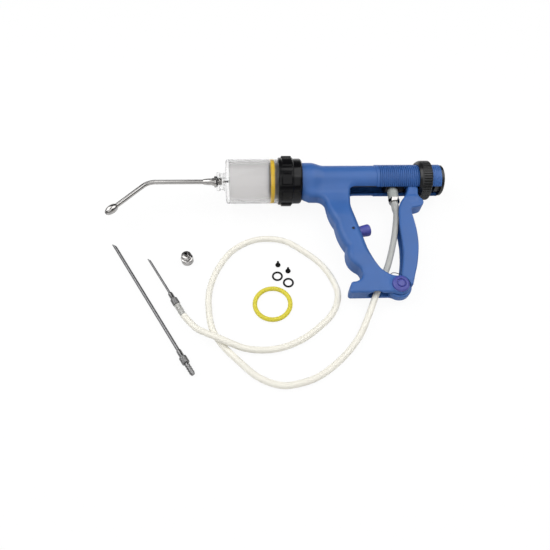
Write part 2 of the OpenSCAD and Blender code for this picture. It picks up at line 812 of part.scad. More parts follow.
// The hollow rod between carriage and piston
module plunger_rod() {
  color("DimGray")
    lay_down()
      difference() {
        bar_x(rod_x, carriage_x + 5, rod_d);
        bar_x(piston_x, carriage_x + 6, flow_bore);
      }
}

// The slider that the lever's tongue pushes
module carriage() {
  r = carriage_d / 2;
  color("Black")
    lay_down()
      difference() {
        turned([
          [0, carriage_x], [r - 1, carriage_x], [r, carriage_x + 1], [r, carriage_x + carriage_len - 1],
          [r - 1, carriage_x + carriage_len], [0, carriage_x + carriage_len]
        ]);
        block(
          [tongue_x - tongue_r - 0.5, -r - 1, -slot_w / 2],
          [tongue_x + tongue_r + 0.5, tongue_r + 2, slot_w / 2]
        );
        block([tongue_x - tongue_r - 3.5, -r - 1, -slot_w / 2], [tongue_x + tongue_r + 5.8, -7, slot_w / 2]);
        bar_x(carriage_x - 1, carriage_x + 5, rod_d + 2 * run_gap);
        bar_x(carriage_x + 4, inlet_x, flow_bore);
        bar_y(inlet_x, -9, 0, 4);
        bar_y(inlet_x, -r - 1, -8, 7 + 2 * fit_gap);
        bar_y(inlet_x, -r - 1, inlet_y + seal_section, seal_od + 2 * fit_gap);
      }
}

// The inlet stem: screwed into the carriage, through the slot, to its hose barb
module inlet_stem() {
  top = -8;
  r = inlet_d / 2;
  pipe = inlet_pipe_d / 2;
  barb = top - ferrule_y + 3.2;
  color("Silver")
    lay_down()
      translate([inlet_x, top, 0])
        rotate([90, 0, 0])
          rotate_extrude($fn = fine)
            polygon(concat(
              [[1.3, 0], [3.5, 0], [3.5, top - inlet_y], [r - 0.9, top - inlet_y], [r, top - inlet_y + 2.2]],
              [[r - 0.3, top - inlet_nut_y], [pipe, top - inlet_nut_y], [pipe, barb]],
              [for (i = [0 : 2]) each [[2.5, barb + 4 * i], [2.1, barb + 4 * i + 4]]],
              [[1.3, barb + 12]]
            ));
}

// The six-sided nut that clamps the hose
module inlet_nut() {
  color("Silver")
    lay_down()
      translate([inlet_x, inlet_nut_y, 0])
        rotate([90, 0, 0])
          difference() {
            intersection() {
              cylinder(h = inlet_nut_h, d = nut_af, $fn = 6);
              cylinder(h = inlet_nut_h, d1 = nut_af, d2 = nut_af - 1.2, $fn = fine);
            }
            translate([0, 0, -1])
              cylinder(h = inlet_nut_h + 2, d = inlet_pipe_d + 2 * run_gap, $fn = fine);
          }
}

// The rounded sleeve that grips the hose under the nut
module hose_ferrule() {
  r = ferrule_d / 2;
  hole = hose_d / 2 + fit_gap;
  color("Silver")
    lay_down()
      translate([inlet_x, ferrule_y, 0])
        rotate([90, 0, 0])
          rotate_extrude($fn = fine)
            polygon([
              [hole, 0], [r - 0.4, 0], [r - 0.1, 1], [r, 2.2], [r, ferrule_len * 0.6],
              [r - 0.15, ferrule_len * 0.8], [r - 0.5, ferrule_len], [hole, ferrule_len]
            ]);
}

// The O-ring between inlet stem and carriage
module inlet_seal() {
  color("Black")
    lay_down()
      translate([inlet_x, inlet_y + seal_section / 2, 0])
        rotate([90, 0, 0])
          o_ring(seal_od, seal_section - 0.1);
}

// The hose from the inlet down into the foot
module hose_riser() {
  color("Ivory")
    swept(smooth(riser_knots, 2), hose_d / 2, 10);
}

// The hand lever with its tongue, front channel and round end
module lever() {
  top = lever_front[0];
  back = lever_back[len(lever_back) - 1];
  foot_b = lever_back[0];
  neck_back = dose_front - 3 * pass_gap;
  color("RoyalBlue")
    lay_down()
      difference() {
        union() {
          difference() {
            plate(lever_t)
              polygon(concat(
                lever_front, [pivot + [3.3, 10.1], pivot + [4, 0], pivot + [hub_r + 1, 0]], lever_back
              ));
            bar_z(pivot, -lever_t, lever_t, 2 * (cheek_r + 2 * pass_gap));
          }
          plate(neck_t)
            union() {
              polygon([
                top + [4, -6], top, tongue + [-8.7, -18.2], tongue + [-6.8, -13.6], tongue + [-6.2, -10],
                tongue + [-4.6, -5], tongue + [-4.2, 0], tongue + [4, 0], tongue + [2.6, -7.4],
                [neck_back, tongue_y - 11.4], [neck_back, tongue_y - 13.5], [neck_back - 0.9, tongue_y - 18],
                back, back + [-4, -6]
              ]);
              translate(tongue)
                circle(r = tongue_r, $fn = fine);
            }
          plate(hub_t)
            union() {
              translate(pivot)
                circle(r = hub_r, $fn = fine);
              polygon([
                pivot + [-6, 4], lever_foot, lever_foot + [2, 4], foot_b + [-2, 4], foot_b,
                pivot + [hub_r - 0.4, 0]
              ]);
            }
        }
        plate(hose_d + 3)
          polygon(concat(
            shifted(lever_front, [channel_d, 0]),
            reversed(shifted(lever_front, [-6, 0]))
          ));
        bar_z(pivot, -foot_t, foot_t, pivot_d + 2 * run_gap);
        spring_room();
      }
}

// Room for the return spring inside the lever's round end
module spring_room() {
  half = coil_z + spring_wire / 2 + 0.3;
  bar_z(pivot, -half, half, 2 * (spring_r + spring_wire / 2 + 0.8));
  block([pivot_x - 20, -pivot_drop - 3, -half], [pivot_x - 4, 20 - pivot_drop, half]);
  block([pivot_x + 3, -pivot_drop, -half], [lever_foot.x + channel_d + 1.4, 24 - pivot_drop, half]);
}

// The torsion spring that opens the lever
module return_spring() {
  color("Silver")
    lay_down()
      swept(spring_line, spring_wire / 2, spring_sides);
}

// The threaded core of the dose stop
module dose_nut() {
  color("Black")
    lay_down()
      difference() {
        bar_x(dose_front + 1, dose_front + dose_w - 1, dose_core_d);
        bar_x(dose_front, dose_front + dose_w, thread_d + 2 * pass_gap);
      }
}

// The knurled sleeve of the dose stop
module dose_ring() {
  r = dose_d / 2;
  color("Black")
    lay_down()
      difference() {
        turned([
          [dose_core_d / 2 - 1, dose_front], [dose_core_d / 2 + 0.2, dose_front], [r - 1.4, dose_front + 1],
          [r - 0.3, dose_front + 2.6], [r, dose_front + 4], [r, dose_front + dose_w - dose_edge],
          [r - 0.6, dose_front + dose_w - 0.6], [r - 1.6, dose_front + dose_w],
          [dose_core_d / 2 - 1, dose_front + dose_w]
        ]);
        bar_x(dose_front + 1 - fit_gap, dose_front + dose_w - 1 + fit_gap, dose_core_d + 2 * run_gap);
        for (i = [0 : dose_grooves - 1])
          rotate([(i + 0.5) * 360 / dose_grooves, 0, 0])
            translate([0, r + 0.35, 0])
              bar_x(dose_front + 4.4, dose_front + dose_w + 1, 1.9);
      }
}

// The free run of the hose over the table
module hose_run() {
  color("Ivory")
    swept(smooth(run_knots, 2), hose_d / 2, 10);
}

// The frame of the needle on the hose: x runs from its point to its hub
module at_spike() {
  translate(spike_at)
    rotate([0, 0, spike_turn])
      children();
}

// The barbed hub on the hose's end
module spike_hub() {
  color("Gray")
    at_spike()
      translate([spike_len, 0, 0])
        needle_hub(spike_d, spike_bore);
}

// The draw-off needle on the hose
module spike_needle() {
  color("Silver")
    at_spike()
      needle(spike_len, spike_d, spike_bore);
}

// The frame of the loose long needle
module at_long() {
  translate([-178, 32.9, spike_z] - table_mid)
    rotate([0, 0, -58.9])
      children();
}

// The loose long needle's hub
module long_hub() {
  color("Gray")
    at_long()
      translate([long_len, 0, 0])
        needle_hub(needle_d, needle_bore);
}

// The loose long needle
module long_needle() {
  color("Silver")
    at_long()
      needle(long_len, needle_d, needle_bore);
}

// The loose adaptor for other nozzles, standing on its base
module nozzle_adaptor() {
  color("Silver")
    translate([-98.2, 9.8, 0] - table_mid)
      difference() {
        rotate_extrude($fn = fine)
          polygon([
            [0, 0], [5.9, 0], [6.3, 0.4], [6.3, 6.6], [5.9, 7], [5.3, 7.2], [5.3, 11],
            [4.7, 11.8], [2.3, 12], [2.3, 14], [0, 14]
          ]);
        translate([0, 0, -1])
          cylinder(h = 7, d = 7.6, $fn = fine);
        translate([0, 0, 5])
          cylinder(h = 10, d = 2.4, $fn = fine);
      }
}

// A spare ring lying at a place on the table
module lying_ring(p, od, section) {
  translate([p.x, p.y, section / 2] - table_mid)
    o_ring(od, section);
}

// The loose spare piston ring
module spare_ring() {
  color("Gold")
    lying_ring([-10.9, -47], ring_od, ring_section);
}

// One loose spare O-ring
module spare_seal_a() {
  color("Black")
    lying_ring([-4.6, -13.8], seal_od, seal_section);
}

// The other loose spare O-ring
module spare_seal_b() {
  color("Black")
    lying_ring([6.3, -22.1], seal_od, seal_section);
}

// One loose spare valve
module spare_valve_a() {
  color("DimGray")
    translate([-3.4, 0.1, 0] - table_mid)
      valve();
}

// The other loose spare valve
module spare_valve_b() {
  color("DimGray")
    translate([6.7, -7.9, 0] - table_mid)
      valve();
}

// Sizes that the record states, in the table's frame
echo(lean = [lean_x, lean_y], rest_h = rest_h);
echo(swing = swing, stroke = stroke, ratio = stroke / (swing * PI / 180));
echo(pivot_at = on_table([pivot_x, -pivot_drop, 0]), pivot_axis = aim([0, 0, 1]));
echo(barrel_axis = aim([1, 0, 0]));
echo(barrel_seat = on_table([0, 0, 0]), dose_at = on_table([dose_front, 0, 0]), spring_gap = spring_gap);
echo(riser = line_len(smooth(riser_knots, 2)), run = line_len(smooth(run_knots, 2)));

housing();
barrel();
union_nut();
outlet_valve();
nozzle_hub();
nozzle_seal();
nozzle_tube();
nozzle_tip();
end_cap();
pivot_pin();
pivot_knob();
stop_button();
stop_pin();
piston();
piston_ring();
inlet_valve();
plunger_rod();
carriage();
inlet_stem();
inlet_nut();
inlet_seal();
hose_ferrule();
hose_riser();
lever();
return_spring();
dose_nut();
dose_ring();
hose_run();
spike_hub();
spike_needle();
nozzle_adaptor();
long_hub();
long_needle();
spare_ring();
spare_seal_a();
spare_seal_b();
spare_valve_a();
spare_valve_b();
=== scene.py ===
import json
import math

import bmesh
import bpy
import numpy as np
from mathutils import Matrix, Vector


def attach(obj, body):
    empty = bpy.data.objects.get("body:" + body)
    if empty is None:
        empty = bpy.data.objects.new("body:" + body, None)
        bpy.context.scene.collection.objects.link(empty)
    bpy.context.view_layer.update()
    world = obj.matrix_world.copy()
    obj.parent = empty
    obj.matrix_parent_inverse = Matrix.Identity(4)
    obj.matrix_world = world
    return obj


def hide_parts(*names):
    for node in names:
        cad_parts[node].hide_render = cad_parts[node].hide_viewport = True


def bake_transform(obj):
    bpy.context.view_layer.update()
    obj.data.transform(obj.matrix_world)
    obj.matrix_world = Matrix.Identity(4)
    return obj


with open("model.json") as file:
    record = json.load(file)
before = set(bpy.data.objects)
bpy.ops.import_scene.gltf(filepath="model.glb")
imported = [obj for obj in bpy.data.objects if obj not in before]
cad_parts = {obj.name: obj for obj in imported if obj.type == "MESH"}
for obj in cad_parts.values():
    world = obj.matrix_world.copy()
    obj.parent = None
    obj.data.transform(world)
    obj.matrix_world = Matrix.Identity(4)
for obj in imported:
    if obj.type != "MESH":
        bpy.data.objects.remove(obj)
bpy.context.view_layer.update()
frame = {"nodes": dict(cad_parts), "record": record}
scene = bpy.context.scene
nodes = frame["nodes"]
joints = {j["name"]: j for j in frame["record"]["behaviour"]["joints"]}
FULL = 2 * math.pi
EIGHTH = math.pi / 4

# The gun's own frame in the row: x along the barrel away from the nozzle, y to the gun's top,
# z out of its near side. Its origin is found from the dose ring's place on the barrel's axis.
DOSE_X = 144
gun_x = -Vector(joints["plunger_stroke"]["axis"]).normalized()
gun_z = Vector(joints["lever_squeeze"]["axis"]).normalized()
gun_y = gun_z.cross(gun_x).normalized()
gun_o = Vector(joints["dose_turn"]["pos_m"]) - DOSE_X / 1000 * gun_x
GUN = Matrix.Translation(gun_o) @ Matrix((gun_x, gun_y, gun_z)).transposed().to_4x4()


def gun(x, y, z=0.0):
    """A point of the gun's frame, given in millimetres, in the row frame in metres."""
    return GUN @ Vector((x / 1000, y / 1000, z / 1000))


def along(origin, direction, up=(0, 0, 1)):
    """A frame whose x axis points along a direction, from row vectors in metres."""
    x = Vector(direction).normalized()
    y = Vector(up).cross(x).normalized()
    return Matrix.Translation(Vector(origin)) @ Matrix((x, y, x.cross(y))).transposed().to_4x4()


# Camera at the photograph's place and lens, the lens in pixels of the photograph's width.
SENSOR, LENS_PX, PHOTO_PX = 36, 510, 550
CAMERA_AT, CAMERA_TILT = (-0.0202, -0.2981, 0.445), math.radians(57.3)
CAMERA_WAY = (0.0437, 0.999)
camera = bpy.data.cameras.new("camera")
camera.sensor_width = SENSOR
camera.lens = SENSOR * LENS_PX / PHOTO_PX
camera_object = bpy.data.objects.new("camera", camera)
scene.collection.objects.link(camera_object)
camera_object.location = CAMERA_AT
level = math.cos(CAMERA_TILT)
look_way = Vector((CAMERA_WAY[0] * level, CAMERA_WAY[1] * level, -math.sin(CAMERA_TILT)))
camera_object.rotation_mode = "QUATERNION"
camera_object.rotation_quaternion = look_way.to_track_quat("-Z", "Y")
scene.camera = camera_object
scene.view_settings.view_transform = "Standard"


# Shader nodes.
def fill(node, inputs):
    """Sets inputs of a shader node by name, an underscore standing for a space."""
    for key, value in inputs.items():
        node.inputs[key.replace("_", " ")].default_value = value


def shader_node(tree, kind, **inputs):
    """A new shader node with values for its inputs."""
    node = tree.nodes.new("ShaderNode" + kind)
    fill(node, inputs)
    return node


def math_node(tree, kind, operation):
    """A new node of a kind that has an operation."""
    node = shader_node(tree, kind)
    node.operation = operation
    return node


def ramp_node(tree, stops):
    """A colour ramp with two stops, each a position and a colour."""
    node = shader_node(tree, "ValToRGB")
    for i, (position, colour) in enumerate(stops):
        node.color_ramp.elements[i].position = position
        node.color_ramp.elements[i].color = (*colour, 1)
    return node


def wire(tree, *links):
    """Links nodes; each link names a node and its output, then a node and its input."""
    for source, output, target, entry in links:
        tree.links.new(source.outputs[output], target.inputs[entry])


# Materials. Object coordinates are metres in the row frame, so a noise scale is per metre.
PATCHES, PATCH_DETAIL, PATCH_RANGE = 45.0, 4, (0.3, 0.7)
GRAIN_DETAIL, BUMP_STRENGTH, LEAST_ROUGH = 3, 0.35, 0.02


def srgb(r, g, b):
    """An 8-bit screen colour as linear values."""
    parts = [c / 255 for c in (r, g, b)]
    return tuple(c / 12.92 if c <= 0.04045 else ((c + 0.055) / 1.055) ** 2.4 for c in parts)


def material(
    name, colour, rough, metal=0.0, spread=0.06, rough_spread=0.08, grain=900.0, bump=0.03, **inputs
):
    """A principled material with patchy colour, uneven gloss and a fine surface, its bump in mm."""
    m = bpy.data.materials.new(name)
    m.use_nodes = True
    tree = m.node_tree
    shader = tree.nodes["Principled BSDF"]
    place = shader_node(tree, "TexCoord")
    patches = shader_node(tree, "TexNoise", Scale=PATCHES, Detail=PATCH_DETAIL)
    dark = [c * (1 - spread) for c in colour]
    light = [min(1.0, c * (1 + spread)) for c in colour]
    ramp = ramp_node(tree, zip(PATCH_RANGE, (dark, light)))
    smoothest = max(LEAST_ROUGH, rough - rough_spread)
    gloss = shader_node(tree, "MapRange", To_Min=smoothest, To_Max=rough + rough_spread)
    fine = shader_node(tree, "TexNoise", Scale=grain, Detail=GRAIN_DETAIL)
    relief = shader_node(tree, "Bump", Strength=BUMP_STRENGTH, Distance=bump / 1000)
    wire(
        tree,
        (place, "Object", patches, "Vector"),
        (patches, "Fac", ramp, "Fac"),
        (ramp, "Color", shader, "Base Color"),
        (patches, "Fac", gloss, "Value"),
        (gloss, "Result", shader, "Roughness"),
        (place, "Object", fine, "Vector"),
        (fine, "Fac", relief, "Height"),
        (relief, "Normal", shader, "Normal"),
    )
    shader.inputs["Metallic"].default_value = metal
    fill(shader, inputs)
    return m


BLUE = material("blue_plastic", srgb(44, 90, 155), 0.46, bump=0.04)
PURPLE = material("purple_plastic", srgb(66, 70, 148), 0.4)
NUT_BLACK = material(
    "nut_black", srgb(7, 7, 9), 0.16, rough_spread=0.05, grain=500, Specular_IOR_Level=0.2
)
RING_BLACK = material("ring_black", srgb(12, 13, 14), 0.28, Specular_IOR_Level=0.45)
PISTON_BLACK = material("piston_black", srgb(20, 19, 18), 0.45)
RUBBER = material("black_rubber", srgb(10, 10, 11), 0.65, bump=0.05, Specular_IOR_Level=0.15)
YELLOW = material("yellow_rubber", srgb(206, 194, 52), 0.55, bump=0.02)
AMBER = material("amber_rubber", srgb(246, 202, 48), 0.45, bump=0.02)
CHROME = material(
    "chrome", (0.4, 0.39, 0.38), 0.12, metal=1.0, rough_spread=0.05, grain=1500, bump=0.008
)
NICKEL = material("nickel", (0.2, 0.2, 0.2), 0.3, metal=1.0, grain=2000, bump=0.01)
STEEL = material("steel", (0.2, 0.2, 0.205), 0.4, metal=1.0, grain=2500, bump=0.004)
STEM_GREY = material("stem_grey", srgb(150, 154, 150), 0.42, bump=0.02)
HOSE = material("hose_pvc", srgb(228, 225, 214), 0.42, spread=0.01, grain=150, bump=0.01)
# The same PVC as the hose's free run, given a greyer base colour: painted shade where the hose rises
# beside the gun and over the inlet.
SHADED_HOSE = material(
    "hose_pvc_painted_shade", srgb(188, 189, 186), 0.32, spread=0.02, grain=150, bump=0.02,
    Transmission_Weight=0.25, IOR=1.3,
)
HOSE_END = material(
    "hose_pvc_stretched", srgb(238, 238, 233), 0.2, spread=0.01, bump=0.01,
    Transmission_Weight=0.6, IOR=1.15,
)
CLEAR = material(
    "clear_plastic", (0.95, 0.95, 0.95), 0.14, spread=0.01, rough_spread=0.03, bump=0.01,
    Transmission_Weight=1.0, IOR=1.3,
)
# Frosted plastic whose grey tint is partly the plastic's own and partly painted shade for the dimming
# seen through the barrel.
FROST_SHADED = material(
    "frosted_plastic_shaded", (0.72, 0.705, 0.7), 0.45, spread=0.01, rough_spread=0.05, bump=0.01,
    Transmission_Weight=0.92, IOR=1.3,
)

LOOKS = {
    "housing": BLUE, "lever": BLUE, "pivot_knob": PURPLE, "stop_button": PURPLE,
    "barrel": FROST_SHADED, "union_nut": NUT_BLACK, "end_cap": RING_BLACK,
    "dose_ring": RING_BLACK, "dose_nut": RING_BLACK,
    "piston": PISTON_BLACK, "carriage": PISTON_BLACK, "stop_pin": PISTON_BLACK,
    "piston_ring": AMBER, "spare_ring": YELLOW,
    "outlet_valve": RUBBER, "inlet_valve": RUBBER, "spare_valve_a": RUBBER, "spare_valve_b": RUBBER,
    "nozzle_seal": RUBBER, "inlet_seal": RUBBER, "spare_seal_a": RUBBER, "spare_seal_b": RUBBER,
    "nozzle_hub": CHROME, "nozzle_tube": CHROME, "nozzle_tip": CHROME,
    "inlet_nut": CHROME, "nozzle_adaptor": CHROME,
    "inlet_stem": STEM_GREY, "spike_hub": NICKEL, "long_hub": NICKEL,
    "pivot_pin": STEEL, "plunger_rod": STEEL, "return_spring": STEEL,
    "spike_needle": STEEL, "long_needle": STEEL,
    # The riser and the ferrule take the hose's colour darkened with painted shade.
    "hose_run": HOSE, "hose_riser": SHADED_HOSE, "hose_ferrule": SHADED_HOSE,
}


def dress(obj, look):
    """Gives an object one material."""
    obj.data.materials.clear()
    obj.data.materials.append(look)


for node_name, node_look in LOOKS.items():
    dress(nodes[node_name], node_look)


# Pieces of the scene.
def piece(name, points, faces, place, look, body, node, sharp=None):
    """A piece from points in millimetres of a placed frame, standing for a node.

    Edges that bend by more than sharp degrees stay sharp. A piece without a body is not attached to
    one.
    """
    turn = np.array(place)
    spots = np.asarray(points, float) / 1000 @ turn[:3, :3].T + turn[:3, 3]
    mesh = bpy.data.meshes.new(name)
    mesh.from_pydata(spots.tolist(), [], [list(map(int, f)) for f in faces])
    bm = bmesh.new()
    bm.from_mesh(mesh)
    bmesh.ops.recalc_face_normals(bm, faces=bm.faces)
    bm.to_mesh(mesh)
    bm.free()
    mesh.shade_smooth()
    if sharp:
        mesh.set_sharp_from_angle(angle=math.radians(sharp))
    obj = bpy.data.objects.new(name, mesh)
    scene.collection.objects.link(obj)
    dress(obj, look)
    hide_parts(node)
    if body:
        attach(obj, body)
    return obj


def sheet_faces(rows, sides, loop):
    """Quads of a grid of points whose rows close round, and whose columns may close too."""
    faces = []
    for i in range(rows if loop else rows - 1):
        here, there = i * sides, (i + 1) % rows * sides
        for k in range(sides):
            after = (k + 1) % sides
            faces.append((here + k, here + after, there + after, there + k))
    return faces


def end_faces(rows, sides):
    """The two ends of a grid of points whose columns stay open."""
    return [tuple(range(sides)), tuple((rows - 1) * sides + k for k in range(sides))]


def ring(x, r, turn):
    """Points at radius r round the x axis."""
    return np.stack([x + 0 * turn, r * np.cos(turn), r * np.sin(turn)], 1)


def lathe(
    name, profile, place, look, slot, body, node, sides=96, relief=None, sharp=35, loop=False
):
    """A turned piece about its frame's x axis; relief adds to the radius at (x, r, angles)."""
    turn = np.arange(sides) * FULL / sides
    rows = []
    for x, r in profile:
        rows.append(ring(x, r + relief(x, r, turn) if relief else r, turn))
    faces = sheet_faces(len(rows), sides, loop)
    if not loop:
        faces += end_faces(len(rows), sides)
    return piece(name, np.concatenate(rows), faces, place, look, body, node, sharp)


# Distance fields for the moulded forms, in millimetres of the gun's frame.
def outline_distance(points, x, y):
    """Signed distance to a closed outline, negative inside."""
    near = np.full(x.shape, 1e9)
    inside = np.zeros(x.shape, bool)
    for (ax, ay), (bx, by) in zip(points, points[1:] + points[:1]):
        ex, ey = bx - ax, by - ay
        t = np.clip(((x - ax) * ex + (y - ay) * ey) / max(ex * ex + ey * ey, 1e-9), 0, 1)
        near = np.minimum(near, (x - ax - t * ex) ** 2 + (y - ay - t * ey) ** 2)
        if ay != by:
            inside ^= ((ay > y) != (by > y)) & (x < ex * (y - ay) / ey + ax)
    return np.where(inside, -1, 1) * np.sqrt(near)


def outline(points, x, y):
    """An outline's distance over a box of points, the same at every depth."""
    return outline_distance(points, x[:, :, 0], y[:, :, 0])[:, :, None]


def slab(flat, depth, half, edge):
    """An outline's distance made a plate of half thickness with rounded edges."""
    u, v = flat + edge, depth - (half - edge)
    return np.minimum(np.maximum(u, v), 0) + np.hypot(np.maximum(u, 0), np.maximum(v, 0)) - edge


def join(a, b, k):
    """A union with a fillet of size k."""
    h = np.maximum(k - np.abs(a - b), 0) / k
    return np.minimum(a, b) - h * h * k / 4


def cut(a, b, k):
    """A difference with edges softened by k."""
    return -join(-a, b, k)


def block(x, y, z, low, high):
    """Distance to a box."""
    d = [np.maximum(low[i] - v, v - high[i]) for i, v in enumerate((x, y, z))]
    return np.maximum(np.maximum(d[0], d[1]), d[2])


def ease(t):
    """A soft step from 0 to 1."""
    t = np.clip(t, 0, 1)
    return t * t * (3 - 2 * t)


def skin(field, low, step):
    """Points and quads of a field's zero surface, one point to each cell that it passes."""
    inside = field < 0
    shape = np.array(field.shape) - 1
    corners = [(i, j, k) for i in (0, 1) for j in (0, 1) for k in (0, 1)]

    def corner(a, c):
        return a[c[0]:c[0] + shape[0], c[1]:c[1] + shape[1], c[2]:c[2] + shape[2]]

    count = sum(corner(inside, c).astype(np.int8) for c in corners)
    cells = np.argwhere((count > 0) & (count < 8))
    number = np.full(tuple(shape), -1)
    number[tuple(cells.T)] = np.arange(len(cells))
    total, hits = np.zeros((len(cells), 3)), np.zeros(len(cells))
    values = {c: field[tuple((cells + c).T)] for c in corners}
    for a in corners:
        for axis in range(3):
            if a[axis]:
                continue
            b = tuple(1 if i == axis else v for i, v in enumerate(a))
            crossed = (values[a] < 0) != (values[b] < 0)
            t = values[a] / np.where(crossed, values[a] - values[b], 1)
            spot = np.tile(np.array(a, float), (len(cells), 1))
            spot[:, axis] = t
            total += np.where(crossed[:, None], spot, 0)
            hits += crossed
    points = np.array(low) + step * (cells + total / hits[:, None])
    faces = []
    for axis in range(3):
        u, v = [i for i in range(3) if i != axis]
        first = tuple(slice(0, -1) if i == axis else slice(1, -1) for i in range(3))
        second = tuple(slice(1, None) if i == axis else slice(1, -1) for i in range(3))
        edges = np.argwhere(inside[first] != inside[second])
        edges[:, [u, v]] += 1
        around = []
        for du, dv in ((-1, -1), (0, -1), (0, 0), (-1, 0)):
            at = edges.copy()
            at[:, u] += du
            at[:, v] += dv
            around.append(number[tuple(at.T)])
        faces.append(np.stack(around, 1))
    return points, np.concatenate(faces)


def moulded(name, field, low, high, step, body):
    """A blue piece skinned from its field over a box of points, standing for its body's node."""
    axes = [np.arange(a, b + step, step) for a, b in zip(low, high)]
    points, faces = skin(field(*np.meshgrid(*axes, indexing="ij")), low, step)
    piece(name, points, faces, GUN, BLUE, body, body)


# Lines and outlines.
def smooth(knots, n):
    """A smooth line through knots, n points to each span."""
    k = [Vector(p) for p in knots]
    line = []
    for i in range(len(k) - 1):
        a, b, c, d = k[max(0, i - 1)], k[i], k[i + 1], k[min(len(k) - 1, i + 2)]
        for j in range(n):
            t = j / n
            square, cube = 2 * a - 5 * b + 4 * c - d, 3 * b - a - 3 * c + d
            line.append(0.5 * (2 * b + (c - a) * t + square * t * t + cube * t**3))
    return line + [k[-1]]


def flat_smooth(points, n):
    """A smooth flat line through points."""
    return [(p[0], p[1]) for p in smooth([(*p, 0) for p in points], n)]


def arc(cx, cy, r, a, b, n=10):
    """Points on a circle, angles in degrees."""
    turns = [math.radians(a + (b - a) * i / n) for i in range(n + 1)]
    return [(cx + r * math.cos(t), cy + r * math.sin(t)) for t in turns]


def bow(a, b, rise, n=6):
    """Points on a bow of given rise between two points."""
    dx, dy = b[0] - a[0], b[1] - a[1]
    size = math.hypot(dx, dy)
    line = []
    for i in range(n + 1):
        left = 1 - i / n
        x = a[0] + dx * i / n + dy / size * rise * 4 * i / n * left
        y = a[1] + dy * i / n - dx / size * rise * 4 * i / n * left
        line.append((x, y))
    return line


# Sizes of the gun, most of them as in the model's source. Radii end in R, and half thicknesses in
# HALF. The thread's root is deeper than in the source, so that it reads.
PIVOT = (105.0, -133.4)
FOOT_DROP = 141.0
CHEEK_R, HUB_R = 9.7, 12.2
TUBE_R, NECK_R, BORE_R = 16.5, 19.75, 13.5
TUBE_LEN, NECK_LEN, TAPER_LEN = 169.0, 26, 15
THREAD_START, THREAD_R, THREAD_ROOT, PITCH = 97.5, 17.25, 16.0, 2.2
SLOT_X, SLOT_HALF = 68.0, 8.2
FOOT_HALF, GRIP_HALF, LEVER_HALF, NECK_HALF = 8.5, 11.5, 8.0, 7.8
CLEVIS_HALF, HUB_HALF, TRENCH_HALF = 4.5, 4.2, 3.8
TONGUE, TONGUE_R = (138.0, -4.0), 5.7
DOSE_LEN = 14
HOSE_D = 6.4
MOUTH_X, HOSE_LEAN = 81.4, (9.6, 19.0)
INLET_X = 116.4
BUTTON_ROOT, BUTTON_LEAN = (72.0, -0.479 * FOOT_DROP), math.radians(12.6)
BUTTON_WAY = (math.cos(BUTTON_LEAN), math.sin(BUTTON_LEAN))

# Heights under the barrel's axis: where the guard ends, and where the grip swells and is rounded.
GUARD_LOW, GRIP_FROM, GRIP_BLEND = 70, 30, 24
SWELL_TO, SWELL_BLEND, ROUND_TO, ROUND_BLEND = 124, 26, 112, 24

# Holes of the housing: the room between the cheeks, the trench, the hose's way and the button's seat.
CLEVIS_FRONT, CLEVIS_TOP, TRENCH_X, TRENCH_TOP = 7.3, 20, 81, 0.5
HOSE_PLAY, HOSE_HOLE_TOP, MOUTH_R, MOUTH_DEEP = 0.9, 100, 7.4, 8
BUTTON_SEAT_R, BUTTON_PIN_BACK, BUTTON_PIN_R = 6.6, 7, 1.55

# Hollows of the lever: round the cheeks, for the hose, and for the return spring.
CHEEK_GAP, CHANNEL_DEEP, CHANNEL_PLAY = 0.6, 6, 1.5
SPRING_ROOM_R, SPRING_ROOM_HALF, SPRING_ROOM_X = 7.75, 2.5, 115.8

# Places outside all forms, which cuts run out to.
BELOW, UNDER_TUBE, PAST_HUB, PAST_TUBE = -170, -40, 150, 200

# Sizes of the moulded surface: rounded edges, fillets, and how far cuts are softened.
GUARD_EDGE, GRIP_EDGE, FOOT_EDGE, CHEEK_EDGE = 5.0, 7.6, 2.6, 2.4
LEVER_EDGE, HUB_EDGE, CHANNEL_EDGE = 1.8, 1.0, 1.5
CHEEK_FILLET, TUBE_FILLET, TONGUE_FILLET = 3, 9, 2
CRISP, SOFT, PIN_SOFT, SPRING_SOFT = 0.6, 0.8, 0.3, 0.5
SLOT_SOFT, HOSE_SOFT, CHANNEL_SOFT = 1.0, 1.2, 1.6
HUB_GAP = 0.5
HOUSING_GRID, LEVER_GRID = 0.8, 0.6
THREAD_LAP, THREAD_ROW, THREAD_COLUMNS = 0.4, 0.18, 121


def down(x, share):
    """A point of the housing's outline, its depth as a share of the foot's."""
    return (x, -share * FOOT_DROP)


def fall(x, share):
    """A point of the lever's outline, its depth as a share of the pivot's."""
    return (x, share * PIVOT[1])


def tube_field(x, y, z):
    """Neck, taper and plain tube, a little way into the thread."""
    reach = np.hypot(y, z)
    r = TUBE_R + (NECK_R - TUBE_R) * (1 - ease((x - NECK_LEN) / TAPER_LEN))
    return np.maximum(np.maximum(reach - r, -x), x - THREAD_START - THREAD_LAP)


